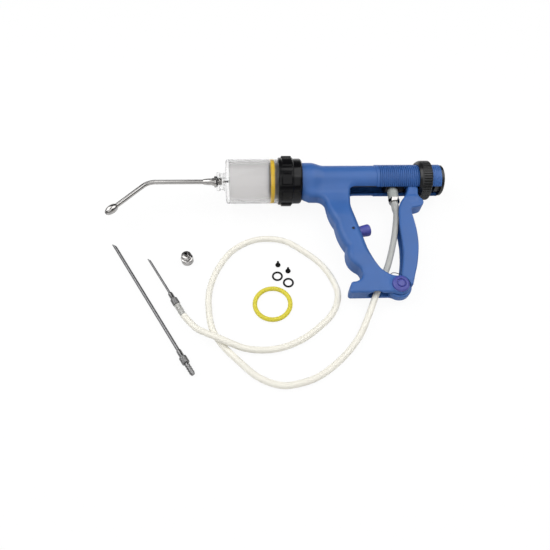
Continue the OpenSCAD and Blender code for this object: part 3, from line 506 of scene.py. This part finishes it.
def housing_field(x, y, z):
    """The moulded body without its thread."""
    px, py = PIVOT
    from_pivot = np.hypot(x - px, y - py)
    guard, waist, groove = down(47.7, 0.4255), down(56.4, 0.631), down(60, 0.848)
    front = (
        [(17, -12), (19, -21), (23, -25)] + arc(30.5, -35.5, 10, 90, 0)
        + bow(down(41.2, 0.284), guard, 1) + bow(guard, waist, 1.8)
        + bow(waist, (groove[0] + 4.2, groove[1] + 7.95), 3.6) + arc(*groove, 9, 62, -95, 12)
        + [down(57.2, 0.919), down(55.2, 0.954), down(54.4, 0.989), down(56.5, 1)]
    )
    rear = [(px, -FOOT_DROP), (px, py + CHEEK_R)] + flat_smooth([
        down(102, 0.872), down(97.4, 0.8595), down(92.5, 0.838), down(87.6, 0.806),
        down(83.4, 0.757), down(80.5, 0.699), down(78, 0.628), down(75.3, 0.539),
        down(71.9, 0.4255), down(67.2, 0.27), (67.6, -26), (68.3, -12),
    ], 4)
    # The grip swells and is rounder than the guard above it and the foot below it.
    swell = ease((-y - GRIP_FROM) / GRIP_BLEND)
    half = FOOT_HALF + (GRIP_HALF - FOOT_HALF) * (swell * ease((y + SWELL_TO) / SWELL_BLEND))
    plain_edge = np.where(y > -GUARD_LOW, GUARD_EDGE, FOOT_EDGE)
    roundness = swell * ease((y + ROUND_TO) / ROUND_BLEND)
    edge = plain_edge + (GRIP_EDGE - plain_edge) * roundness
    body = slab(outline(front + rear, x, y), np.abs(z), half, edge)
    cheeks = slab(from_pivot - CHEEK_R, np.abs(z), FOOT_HALF, CHEEK_EDGE)
    body = join(body, cheeks, CHEEK_FILLET)
    body = join(body, tube_field(x, y, z), TUBE_FILLET)
    # The bore and the slot under the tube.
    body = cut(body, np.hypot(y, z) - BORE_R, SOFT)
    slot = block(x, y, z, (SLOT_X, UNDER_TUBE, -SLOT_HALF), (PAST_TUBE, 0, SLOT_HALF))
    body = cut(body, slot, SLOT_SOFT)
    # Room between the cheeks for the lever's hub, and a trench under the foot.
    hub_x, past_x, top_y = px - HUB_R - HUB_GAP, px + 1, py + CLEVIS_TOP
    room = from_pivot - HUB_R - HUB_GAP
    for low, high in (
        ((px, BELOW, -1), (PAST_HUB, top_y, 1)),
        ((px - CLEVIS_FRONT, py, -1), (past_x, top_y, 1)),
        ((hub_x, BELOW, -1), (past_x, py, 1)),
    ):
        room = np.minimum(room, block(x, y, 0 * z, low, high))
    body = cut(body, np.maximum(room, np.abs(z) - CLEVIS_HALF), SOFT)
    low, high = (TRENCH_X, BELOW, -TRENCH_HALF), (px, py + TRENCH_TOP, TRENCH_HALF)
    body = cut(body, block(x, y, z, low, high), SOFT)
    # The hose's slanted hole, and a wider mouth where it leaves the foot.
    way = np.array(HOSE_LEAN) / math.hypot(*HOSE_LEAN)
    off = (x - MOUTH_X) * way[1] - (y + FOOT_DROP) * way[0]
    hole = np.maximum(np.hypot(off, z) - HOSE_D / 2 - HOSE_PLAY, y + HOSE_HOLE_TOP)
    body = cut(body, hole, HOSE_SOFT)
    mouth = np.maximum(np.hypot(x - MOUTH_X, z) - MOUTH_R, y + FOOT_DROP - MOUTH_DEEP)
    body = cut(body, mouth, CRISP)
    # The stop button's seat, and the hole for its pin.
    bx, by = BUTTON_WAY
    out = (x - BUTTON_ROOT[0]) * bx + (y - BUTTON_ROOT[1]) * by
    side = -(x - BUTTON_ROOT[0]) * by + (y - BUTTON_ROOT[1]) * bx
    body = cut(body, np.maximum(np.hypot(side, z) - BUTTON_SEAT_R, -out), SOFT)
    return cut(body, np.hypot(out + BUTTON_PIN_BACK, side) - BUTTON_PIN_R, PIN_SOFT)


moulded(
    "housing_body", housing_field, (-1.0, -143.5, -25.0), (118.0, 25.0, 25.0), HOUSING_GRID, "housing"
)


def thread_piece():
    """The slotted tube with its helical thread."""
    start, tight = math.asin(SLOT_HALF / TUBE_R), math.asin(SLOT_HALF / BORE_R)
    turn = np.linspace(start, FULL - start, THREAD_COLUMNS)
    inside = np.clip(turn, tight, FULL - tight)[::-1]
    n, sides = len(turn), 2 * len(turn)
    rows = []
    for x in np.arange(THREAD_START - 0.3, TUBE_LEN + 0.01, THREAD_ROW):
        lead = ((x - THREAD_START) / PITCH - turn / FULL) % 1
        groove = ease((0.3 - np.abs(lead - 0.5)) / 0.2)
        run_in, run_out = ease((x - THREAD_START - 1.8) / 0.8), ease((TUBE_LEN - 0.3 - x) / 1.0)
        behind_ring = ease((x - DOSE_X - DOSE_LEN) / 2)
        depth = run_in * (1 - 0.7 * behind_ring) * run_out
        step = ease((x - THREAD_START + 0.2) / 0.3)
        r = TUBE_R + (THREAD_R - TUBE_R) * step - (THREAD_R - THREAD_ROOT) * groove * depth
        half = np.clip(turn, np.arcsin(SLOT_HALF / r), FULL - np.arcsin(SLOT_HALF / r))
        outer = np.stack([np.full(n, x), -r * np.cos(half), r * np.sin(half)], 1)
        inner = np.stack([np.full(n, x), -BORE_R * np.cos(inside), BORE_R * np.sin(inside)], 1)
        rows.append(np.concatenate([outer, inner]))
    faces = sheet_faces(len(rows), sides, False)
    for base in (0, (len(rows) - 1) * sides):
        last = base + sides - 1
        faces += [(base + k, base + k + 1, last - 1 - k, last - k) for k in range(n - 1)]
    points = np.concatenate(rows)
    piece("housing_thread", points, faces, GUN, BLUE, "housing", "housing", 40)


thread_piece()


def lever_field(x, y, z):
    """The hand lever with its tongue, channel and round end."""
    px, py = PIVOT
    tx, ty = TONGUE
    depth, from_pivot = np.abs(z), np.hypot(x - px, y - py)
    front = flat_smooth([
        fall(127, 0.195), fall(122.6, 0.237), fall(119.4, 0.277), fall(117.2, 0.335),
        fall(115.9, 0.41), fall(114.9, 0.5), fall(114.8, 0.6), fall(114.4, 0.66),
        fall(112.8, 0.757), fall(110.4, 0.84), fall(108.4, 0.895),
    ], 4)
    back = flat_smooth([
        fall(122.6, 0.905), fall(126, 0.835), fall(128.7, 0.76), fall(131, 0.68), fall(132.3, 0.6),
        fall(132.6, 0.51), fall(131.9, 0.42), fall(131, 0.345), fall(132.6, 0.312),
        fall(138.6, 0.3013), fall(143.4, 0.288), fall(145.7, 0.268), fall(146.2, 0.249),
        fall(145.3, 0.229), fall(143.4, 0.21), fall(141.8, 0.193),
    ], 4)
    (top_x, top_y), (low_x, low_y) = front[0], front[-1]
    (foot_x, foot_y), (heel_x, heel_y) = back[0], back[-1]
    # The blade, hollowed round the cheeks.
    foot = [(px + 3.3, py + 10.1), (px + 4, py), (px + HUB_R + 1, py)]
    body = slab(outline(front + foot + back, x, y), depth, LEVER_HALF, LEVER_EDGE)
    body = cut(body, from_pivot - CHEEK_R - CHEEK_GAP, CRISP)
    # The tongue that pushes the carriage, and the neck under it.
    neck = outline([
        (top_x + 4, top_y - 8), front[0], (tx - 8.7, ty - 18.2), (tx - 6.8, ty - 13.6),
        (tx - 6.2, ty - 10), (tx - 4.6, ty - 5), (tx - 4.2, ty), (tx + 4, ty),
        (tx + 2.6, ty - 7.4), (DOSE_X - 0.9, ty - 11.4), (DOSE_X - 0.9, ty - 13.5),
        (DOSE_X - 1.8, ty - 18), back[-1], (heel_x - 4, heel_y - 8),
    ], x, y)
    neck = np.minimum(neck, np.hypot(x - tx, y - ty) - TONGUE_R)
    body = join(body, slab(neck, depth, NECK_HALF, LEVER_EDGE), TONGUE_FILLET)
    # The round end between the cheeks.
    hub = outline([
        (px - 6, py + 4), front[-1], (low_x + 2, low_y + 4), (foot_x - 2, foot_y + 4), back[0],
        (px + HUB_R - 0.4, py),
    ], x, y)
    hub = np.minimum(hub, from_pivot - HUB_R)
    body = np.minimum(body, slab(hub, depth, HUB_HALF, HUB_EDGE))
    # The channel for the hose, and room for the return spring.
    way = [(a + CHANNEL_DEEP, b) for a, b in front] + [(a - CHANNEL_DEEP, b) for a, b in front[::-1]]
    channel = slab(outline(way, x, y), depth, HOSE_D / 2 + CHANNEL_PLAY, CHANNEL_EDGE)
    body = cut(body, channel, CHANNEL_SOFT)
    half = SPRING_ROOM_HALF
    room = np.maximum(from_pivot - SPRING_ROOM_R, depth - half)
    for low, high in (
        ((px - 20, py - 3, -half), (px - 4, py + 20, half)),
        ((px + 3, py, -half), (SPRING_ROOM_X, py + 24, half)),
    ):
        room = np.minimum(room, block(x, y, z, low, high))
    return cut(body, room, SPRING_SOFT)


moulded("lever_body", lever_field, (91.0, -147.0, -9.6), (149.0, 3.0, 9.6), LEVER_GRID, "lever")

# The union nut: a turned wall with eight soft-edged lugs. Profiles are (x, radius).
NUT_R, LUG_TURN, LUG_HALF, LUG_RISE, LUG_SOFT = 25.6, math.radians(121), 7.3, 1.7, 0.9


def lug_relief(x, r, turn):
    """The lugs, on the nut's widest rows only."""
    if r < NUT_R:
        return 0 * turn
    off = np.abs((turn - LUG_TURN + EIGHTH / 2) % EIGHTH - EIGHTH / 2)
    across = ease((LUG_HALF - 27 * np.sin(off)) / LUG_SOFT)
    lengthwise = ease((x + 6.5) / LUG_SOFT) * ease((5.3 - x) / LUG_SOFT)
    return LUG_RISE * across * lengthwise


nut_rows = [(-9.5, 24.15), (-9.5, 24.7), (-9.3, 25.2), (-8.9, 25.5), (-8.3, NUT_R)]
nut_rows += [(x, NUT_R) for x in np.arange(-7, 5.7, 0.32)]
nut_rows += [
    (5.75, NUT_R), (6.2, 25.2), (6.6, 24.6), (7.2, 24.5), (13.4, 24.5), (14.4, 24.2), (15.3, 23.5),
    (15.8, 22.7), (16, 21.9), (16, 19.85), (3.6, 19.85), (3.6, 24.15),
]
lathe(
    "union_nut_form", nut_rows, GUN, NUT_BLACK, "black_gloss", "housing", "union_nut",
    sides=384, relief=lug_relief, sharp=30, loop=True,
)

# The dose ring: a sleeve with rounded flutes.
SLEEVE_BORE_R, FLUTES, FLUTE_DEPTH = 18.3, 48, 0.85


def flute_relief(x, r, turn):
    """The flutes, outside the bore and behind the ring's smooth nose."""
    depth = FLUTE_DEPTH * ease((x - DOSE_X - 3.6) / 1.2) if r > SLEEVE_BORE_R else 0
    wave = np.abs((turn * FLUTES / FULL) % 1 - 0.5) * 2
    return -depth * ease((0.62 - wave) / 0.5)


sleeve_rows = [
    (0, SLEEVE_BORE_R), (0, 19.4), (0.4, 19.9), (1.1, 20.4), (1.9, 20.9), (2.6, 21.3), (3.3, 21.5),
    (3.8, 21.6), (4.2, 21.6), (4.6, 21.6), (5.0, 21.6), (6, 21.6), (8, 21.6), (10, 21.6),
    (11.4, 21.6), (12, 21.6), (12.8, 21.5), (13.4, 21.1), (13.8, 20.6), (DOSE_LEN, 20),
    (DOSE_LEN, SLEEVE_BORE_R),
]
lathe(
    "dose_ring_form", [(DOSE_X + x, r) for x, r in sleeve_rows], GUN, RING_BLACK, "black_matte",
    "dose_ring", "dose_ring", sides=576, relief=flute_relief, sharp=30, loop=True,
)

# The clear barrel as one closed turned wall, clear outside and frosted along its bore, the frosted
# bore's grey tint partly the plastic's own and partly painted shade.
barrel_rows = [
    (0, 24), (-64.2, 24), (-64.9, 23.8), (-65.5, 23.4), (-65.9, 22.7), (-66, 22), (-66, 12.4),
    (-66.3, 11.2), (-66.9, 10.4), (-67.6, 10), (-68.6, 10), (-69.2, 9.4), (-69.4, 9), (-72.3, 9),
    (-72.6, 9.4), (-73.1, 10), (-75.7, 10), (-76.2, 9.8), (-76.5, 9.4), (-76.5, 5.7), (-74.9, 5.7),
    (-74.9, 4), (-66, 4), (-66, 1), (-62, 1), (-62, 19), (-61.7, 19.7), (-61, 20), (0, 20),
]
FROST_FROM, FROST_TO, FROST_R = -61.9, -0.1, 20.2
barrel = lathe(
    "barrel_wall", barrel_rows, GUN, FROST_SHADED, "clear_barrel", "housing", "barrel",
    sides=192, sharp=40, loop=True,
)
barrel.data.materials.append(CLEAR)
to_gun = GUN.inverted()
for face in barrel.data.polygons:
    spot = 1000 * (to_gun @ face.center)
    frosted = FROST_FROM < spot.x < FROST_TO and math.hypot(spot.y, spot.z) < FROST_R
    face.material_index = 0 if frosted else 1

# The piston ring, pressed flat against the wall.
RING_X, RING_MID_R, RING_HALF, RING_RISE = -15.6, 18, 2.9, 2.16


def squared(v):
    """Squares a circle's coordinate, for a pressed section."""
    return math.copysign(abs(v) ** 0.55, v)


piston_ring_rows = [
    (RING_X + RING_HALF * squared(math.cos(a)), RING_MID_R + RING_RISE * squared(math.sin(a)))
    for a in np.linspace(0, FULL, 41)[:-1]
]
lathe(
    "piston_ring_form", piston_ring_rows, GUN, AMBER, "yellow_seal", "plunger", "piston_ring",
    sides=160, sharp=None, loop=True,
)

# The nozzle hub with its threaded spigot, and the outlet valve's stem in the front wall.
SPIGOT_THREADS, SPIGOT_PITCH = 5, 1.1
nozzle_hub_rows = [(-70.5, 0.4), (-70.5, 3.5)]
for i in range(SPIGOT_THREADS):
    nozzle_hub_rows += [
        (x - SPIGOT_PITCH * i, r)
        for x, r in ((-70.7, 3.4), (-70.95, 3.85), (-71.3, 3.85), (-71.6, 3.4))
    ]
nozzle_hub_rows += [
    (-76.4, 3.6), (-76.5, 6.1), (-76.7, 6.25), (-78.6, 6.25), (-78.9, 6), (-78.9, 4.6),
    (-79.1, 4.3), (-81, 4.3), (-81.2, 3.7), (-86.2, 3.6), (-86.6, 3.5), (-90.9, 3), (-90.9, 2.5),
]
lathe("nozzle_hub_form", nozzle_hub_rows, GUN, CHROME, "chrome_metal", "housing", "nozzle_hub")
outlet_rows = [(-67.2, 0.3), (-67.2, 1.1), (-66.6, 1.2), (-66, 0.9), (-63, 0.9), (-62.6, 0.6)]
lathe(
    "outlet_valve_form", outlet_rows, GUN, RUBBER, "valve_rubber", "housing", "outlet_valve",
    sides=48, sharp=50,
)

# Pivot knob and stop button.
knob_rows = [
    (0, 8.1), (0.3, 8.45), (0.8, 8.5), (1.6, 8.5), (2.1, 8.35), (2.5, 8), (2.8, 7.4), (3.1, 6.6),
    (3.4, 5.6), (3.5, 5.1), (3.3, 4.8), (2.4, 4.6), (2.2, 4.4), (2.2, 4), (2.4, 3.8), (3.2, 3.6),
    (3.5, 3.2), (3.62, 2.4), (3.7, 1.2), (3.72, 0.3),
]
knob_place = along(gun(*PIVOT, FOOT_HALF), gun_z, gun_x)
lathe("knob_form", knob_rows, knob_place, PURPLE, "purple", "housing", "pivot_knob", sharp=50)
button_rows = [
    (0.1, 5.9), (0.6, 6.1), (2.4, 6.1), (2.8, 5.85), (3.4, 5.75), (4, 5.95), (9.8, 6.4), (11, 6.45),
    (11.9, 6.2), (12.5, 5.7), (12.9, 5), (13, 4.2), (12.8, 3.8), (12.8, 0.4),
]
button_root = gun(*BUTTON_ROOT)
button_ahead = gun(BUTTON_ROOT[0] + BUTTON_WAY[0], BUTTON_ROOT[1] + BUTTON_WAY[1])
button_place = along(button_root, button_ahead - button_root, gun_z)
lathe(
    "button_form", button_rows, button_place, PURPLE, "purple", "housing", "stop_button", sharp=50
)

# Loose items are placed in the source's table frame, whose origin is off the row's by MID.
MID = Vector((0.736, 1.184, 0.0))


def upright(x, y):
    """A frame that stands on the table, its x axis up."""
    return along((Vector((x, y, 0)) - MID) / 1000, (0, 0, 1), (0, 1, 0))


# The loose adaptor, its collar with eight flats.
def flat_relief(x, r, turn):
    """The flats of the adaptor's collar."""
    if not (7.3 < x < 11.2 and r > 4):
        return 0 * turn
    half = EIGHTH / 2
    return r * (math.cos(half) / np.cos((turn + half) % EIGHTH - half) - 1)


adaptor_rows = [
    (0, 3.8), (0, 5.8), (0.4, 6.2), (0.9, 6.3), (5.2, 6.3), (5.5, 6.0), (5.9, 6.0), (6.2, 6.3),
    (6.7, 6.2), (7.0, 5.8), (7.2, 4.9), (7.4, 5.3), (7.5, 5.4), (11, 5.4), (11.3, 5.2), (11.8, 4.6),
    (11.9, 3.1), (11.5, 2.8), (11.6, 2.4), (13.7, 2.3), (14, 2.1), (14, 1.2), (9, 1.2), (6, 1.4),
    (5.8, 3.8),
]
lathe(
    "adaptor_form", adaptor_rows, upright(-98.2, 9.8), CHROME, "chrome_metal", "nozzle_adaptor",
    "nozzle_adaptor", relief=flat_relief, sharp=30, loop=True,
)

# The loose valves and O-rings.
spare_valve_rows = [
    (0, 0.4), (0, 2.1), (0.4, 2.6), (1.1, 2.8), (1.8, 2.6), (2.3, 2), (2.6, 1.1), (2.8, 0.9),
    (6, 0.85), (6.2, 1.2), (6.7, 1.2), (7.9, 0.6), (8, 0.2),
]
spare_seal_rows = [(1 + math.cos(a), 4.7 + math.sin(a)) for a in np.linspace(0, FULL, 25)[:-1]]
VALVE_SHAPE = {"sides": 48, "sharp": 50}
SEAL_SHAPE = {"sides": 72, "sharp": None, "loop": True}
for spare, rows, x, y, shape in (
    ("spare_valve_a", spare_valve_rows, -3.4, 0.1, VALVE_SHAPE),
    ("spare_valve_b", spare_valve_rows, 6.7, -7.9, VALVE_SHAPE),
    ("spare_seal_a", spare_seal_rows, -4.6, -13.8, SEAL_SHAPE),
    ("spare_seal_b", spare_seal_rows, 6.3, -22.1, SEAL_SHAPE),
):
    lathe(spare + "_form", rows, upright(x, y), RUBBER, "valve_rubber", spare, spare, **shape)

# The hose, with the same points as the model's source, except that it leaves the foot a little lower.
HOSE_Z = HOSE_D / 2 + 0.1
HOSE_TOP, HOSE_OUT = Vector((91, -122, 0)), Vector((MOUTH_X, -FOOT_DROP, -2.2))
HOSE_SPLIT = 0.55 * HOSE_TOP + 0.45 * HOSE_OUT
RUN = [
    (82, -66, 9), (70, -88, 5), (52, -108, HOSE_Z), (29, -125, HOSE_Z), (6, -132, HOSE_Z),
    (-10, -131.5, HOSE_Z), (-28, -123, HOSE_Z), (-45, -107, HOSE_Z), (-60, -90.5, HOSE_Z),
    (-70, -73, HOSE_Z), (-74, -52, HOSE_Z), (-74, -30, HOSE_Z), (-67, -6, HOSE_Z),
    (-53, 16.5, HOSE_Z), (-35, 29, HOSE_Z), (-16, 33, HOSE_Z), (5, 29, HOSE_Z), (23, 16, HOSE_Z),
    (40.5, -1.5, HOSE_Z), (51.5, -22, HOSE_Z), (55, -41, HOSE_Z), (48, -60, HOSE_Z),
    (34, -74.5, HOSE_Z), (16, -87.5, HOSE_Z), (-3, -95, HOSE_Z), (-20, -97, HOSE_Z),
    (-37, -95.5, 4.6), (-50, -92, 8.6), (-63, -86, 10.6), (-74, -80, 8.6), (-86, -71.5, 5),
]
RISER_KNOTS = [
    (INLET_X, -30.5), (INLET_X, -43.5), (INLET_X - 1, -50), (INLET_X - 2.8, -58), (109.4, -75),
    (102.2, -97), (96.6, -111), HOSE_TOP, HOSE_SPLIT,
]
CLEAR_END = 0.0135

# The needles: the draw-off spike at the hose's end, and the long one that lies loose.
SPIKE_AT, SPIKE_TURN, SPIKE_LEN = Vector((-138.9, 12.2, 3.65)), math.radians(-59.6), 50
LONG_AT, LONG_TURN, LONG_LEN = Vector((-178, 32.9, 3.65)), math.radians(-58.9), 148
SPIKE_D, SPIKE_BORE, LONG_D, LONG_BORE = 2.4, 0.9, 3.4, 2.2
COLLAR_END = 16
spike_dir = Vector((math.cos(SPIKE_TURN), math.sin(SPIKE_TURN), 0))
long_dir = Vector((math.cos(LONG_TURN), math.sin(LONG_TURN), 0))
spike_end = (SPIKE_AT - MID + (SPIKE_LEN + COLLAR_END) * spike_dir) / 1000

# The needles' barbed hubs with knurled collars.
COLLAR_R, KNURLS, KNURL_SLANT, BARBS, BARB_PITCH = 3.6, 20, 4.2, 4, 2.7


def knurl_relief(x, r, turn):
    """The crossed knurl of the collar."""
    if not (8.6 < x < 15.4):
        return 0 * turn
    a, b = np.cos(KNURLS * turn + KNURL_SLANT * x), np.cos(KNURLS * turn - KNURL_SLANT * x)
    return 0.09 * (a + b) - 0.06


hub_rows = [
    (0, 1.75), (0, 2), (0.6, 2.3), (1.2, 2.4), (7.7, 2.4), (7.9, 2.5), (8, 3), (8.2, 3.35),
    (8.6, COLLAR_R),
]
hub_rows += [(x, COLLAR_R) for x in np.arange(8.8, 15.3, 0.25)]
hub_rows += [(15.4, COLLAR_R), (15.8, 3.35), (COLLAR_END, 3), (COLLAR_END, 2.05), (18, 2)]
for i in range(BARBS):
    at = BARB_PITCH * i
    hub_rows += [(18.05 + at, 2.55), (18.4 + at, 2.62), (20.7 + at, 2.0 if i < BARBS - 1 else 1.85)]
hub_rows += [(29, 1.8), (29, 0.7)]


def hub_form(name, at, way, reach, body, node):
    """A needle's hub, at the blunt end of a needle of given reach."""
    place = along((at - MID + reach * way) / 1000, way)
    return lathe(
        name, hub_rows, place, NICKEL, "hub_metal", body, node, sides=120, relief=knurl_relief
    )


spike_hub = hub_form("spike_hub_form", SPIKE_AT, spike_dir, SPIKE_LEN, "housing", "spike_hub")
hub_form("long_hub_form", LONG_AT, long_dir, LONG_LEN, "long_needle", "long_hub")


def needle_form(name, at, way, reach, outer, bore, body, node):
    """A hollow needle along its frame's x axis, ground to a slanted point."""
    sides, slant, in_hub = 48, 1.73, 3
    turn = np.arange(sides) * FULL / sides

    def ground(r):
        return slant * (outer + r * np.cos(turn))

    shaft = np.linspace(2 * slant * outer + 0.2, reach + in_hub, 12)
    rows = [ring(ground(outer), outer, turn)] + [ring(x, outer, turn) for x in shaft]
    rows += [ring(reach + in_hub, bore, turn), ring(ground(bore), bore, turn)]
    place, faces = along((at - MID) / 1000, way), sheet_faces(len(rows), sides, True)
    return piece(name, np.concatenate(rows), faces, place, STEEL, body, node, 35)


spike = needle_form(
    "spike_form", SPIKE_AT, spike_dir, SPIKE_LEN, SPIKE_D / 2, SPIKE_BORE / 2, "housing",
    "spike_needle",
)
needle_form(
    "long_needle_form", LONG_AT, long_dir, LONG_LEN, LONG_D / 2, LONG_BORE / 2, "long_needle",
    "long_needle",
)


def tube(name, line, radius, look, body, node, sides=24):
    """A round tube along row points in metres."""
    steep, up = 0.9, Vector((0, 0, 1))
    turns = [FULL * k / sides for k in range(sides)]
    points = []
    for i, p in enumerate(line):
        way = (line[min(len(line) - 1, i + 1)] - line[max(0, i - 1)]).normalized()
        side = (up.cross(way) if abs(way.z) < steep else gun_x.cross(way)).normalized()
        rise = way.cross(side)
        points += [1000 * p + radius * (math.cos(a) * side + math.sin(a) * rise) for a in turns]
    faces = sheet_faces(len(line), sides, False) + end_faces(len(line), sides)
    spots = [tuple(p) for p in points]
    return piece(name, spots, faces, Matrix.Identity(4), look, body, node, 60)


# The free run of the hose, paler where it is stretched over the hub's barbs.
hose_start = HOSE_SPLIT + 0.1 * (HOSE_OUT - HOSE_TOP).normalized()
run_line = smooth(
    [gun(*hose_start), gun(*HOSE_OUT)]
    + [(Vector(p) - MID) / 1000 for p in RUN]
    + [spike_end + reach * spike_dir for reach in (0.014, 0.005, 0.0002)],
    6,
)
hose_run = tube("hose_run_tube", run_line, HOSE_D / 2, HOSE, "housing", "hose_run")
hose_run.data.materials.append(HOSE_END)
for face in hose_run.data.polygons:
    face.material_index = 1 if (face.center - spike_end).length < CLEAR_END else 0

# The riser of the hose, from the inlet down through the lever's channel to the foot, in the hose's
# PVC darkened with painted shade.
riser_line = smooth([gun(*p) for p in RISER_KNOTS], 8)
hose_riser = tube("hose_riser_tube", riser_line, HOSE_D / 2, SHADED_HOSE, None, "hose_riser")
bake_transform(hose_riser)

# The return spring: a hooked leg up from the cheeks, two and a half curls, then a leg up inside
# the lever.
SPRING_R, WIRE_R, CURLS, RISE = 6.5, 0.45, 2.5, 1.4
HOOK = ((10.2, -0.6), (7, 1.3), (3.4, 1.9), (0.9, 0.9), (0, -1.2))
pivot_x, pivot_y = PIVOT
coil_z = CURLS * RISE / 2
hook_x, hook_y = pivot_x - SPRING_R, pivot_y + 14.4
leg_x, leg_y = 115.1, pivot_y + 21
spring_line = smooth([gun(hook_x + x, hook_y + y, coil_z) for x, y in HOOK], 5)
spring_line += [gun(hook_x, pivot_y + 7, coil_z)]
for a in np.linspace(math.pi, math.pi + FULL * CURLS, 61):
    curl_x, curl_y = pivot_x + SPRING_R * math.cos(a), pivot_y + SPRING_R * math.sin(a)
    spring_line.append(gun(curl_x, curl_y, coil_z - RISE * (a - math.pi) / FULL))
spring_line += [
    gun((leg_x + pivot_x + SPRING_R) / 2, pivot_y + 10.5, -coil_z), gun(leg_x, leg_y, -coil_z)
]
spring = tube("spring_wire", spring_line, WIRE_R, STEEL, None, "return_spring", 12)
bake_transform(spring)

# The floor: almost white to the camera and through clear pieces, matte to all other light.
FLOOR_HALF, FLOOR_DROP, FLOOR_GLOW = 3, 0.0002, 0.93
h = FLOOR_HALF
floor_mesh = bpy.data.meshes.new("floor")
floor_mesh.from_pydata([(-h, -h, 0), (h, -h, 0), (h, h, 0), (-h, h, 0)], [], [(0, 1, 2, 3)])
floor = bpy.data.objects.new("floor", floor_mesh)
scene.collection.objects.link(floor)
floor.location.z = -FLOOR_DROP
floor_look = bpy.data.materials.new("floor")
floor_look.use_nodes = True
tree = floor_look.node_tree
tree.nodes.clear()
surface = shader_node(tree, "OutputMaterial")
mix = shader_node(tree, "MixShader")
matte = shader_node(tree, "BsdfDiffuse", Color=(0.9, 0.9, 0.9, 1))
glow = shader_node(tree, "Emission", Strength=1.0)
path = shader_node(tree, "LightPath")
seen = math_node(tree, "Math", "ADD")
seen.use_clamp = True
share = math_node(tree, "Math", "MULTIPLY")
share.inputs[1].default_value = FLOOR_GLOW
wire(
    tree,
    (path, "Is Camera Ray", seen, 0),
    (path, "Is Transmission Ray", seen, 1),
    (seen, 0, share, 0),
    (share, 0, mix, "Fac"),
    (matte, 0, mix, 1),
    (glow, 0, mix, 2),
    (mix, 0, surface, "Surface"),
)
floor_mesh.materials.append(floor_look)

# A studio that is white to the camera. To the pieces it is bright at the horizon, more so on the
# left, and dark overhead, so that polished metal shows both.
world = bpy.data.worlds.new("studio")
scene.world = world
world.use_nodes = True
tree = world.node_tree
tree.nodes.clear()
surround = shader_node(tree, "OutputWorld")
soft_light = shader_node(tree, "Background", Strength=0.9)
white = shader_node(tree, "Background", Color=(1, 1, 1, 1), Strength=1.0)
path = shader_node(tree, "LightPath")
mix = shader_node(tree, "MixShader")
view = shader_node(tree, "TexCoord")
split = shader_node(tree, "SeparateXYZ")
sky = ramp_node(tree, [(0.0, (1, 1, 1)), (0.34, (0.16, 0.16, 0.165))])
sky.color_ramp.interpolation = "EASE"
across = shader_node(tree, "MapRange", From_Min=-0.6, From_Max=0.6, To_Min=0.95, To_Max=0.45)
shade = math_node(tree, "VectorMath", "SCALE")
wire(
    tree,
    (path, "Is Camera Ray", mix, "Fac"),
    (soft_light, 0, mix, 1),
    (white, 0, mix, 2),
    (mix, 0, surround, "Surface"),
    (view, "Generated", split, 0),
    (split, "Z", sky, "Fac"),
    (split, "X", across, "Value"),
    (sky, "Color", shade, "Vector"),
    (across, "Result", shade, "Scale"),
    (shade, "Vector", soft_light, "Color"),
)

# Soft square lamps, turned to the middle of the row: name, place, size in metres, watts.
for name, place, size, watts in (
    ("key", (-0.75, 0.25, 1.15), 1.2, 13),
    ("right", (0.75, 0.25, 1.15), 1.2, 12),
    ("fill", (0.0, -0.8, 1.1), 1.4, 7),
):
    lamp = bpy.data.lights.new(name, "AREA")
    lamp.shape = "SQUARE"
    lamp.size = size
    lamp.energy = watts
    lamp_object = bpy.data.objects.new(name, lamp)
    scene.collection.objects.link(lamp_object)
    lamp_object.location = place
    lamp_object.rotation_mode = "QUATERNION"
    lamp_object.rotation_quaternion = (Vector((0, 0, 0)) - Vector(place)).to_track_quat("-Z", "Y")
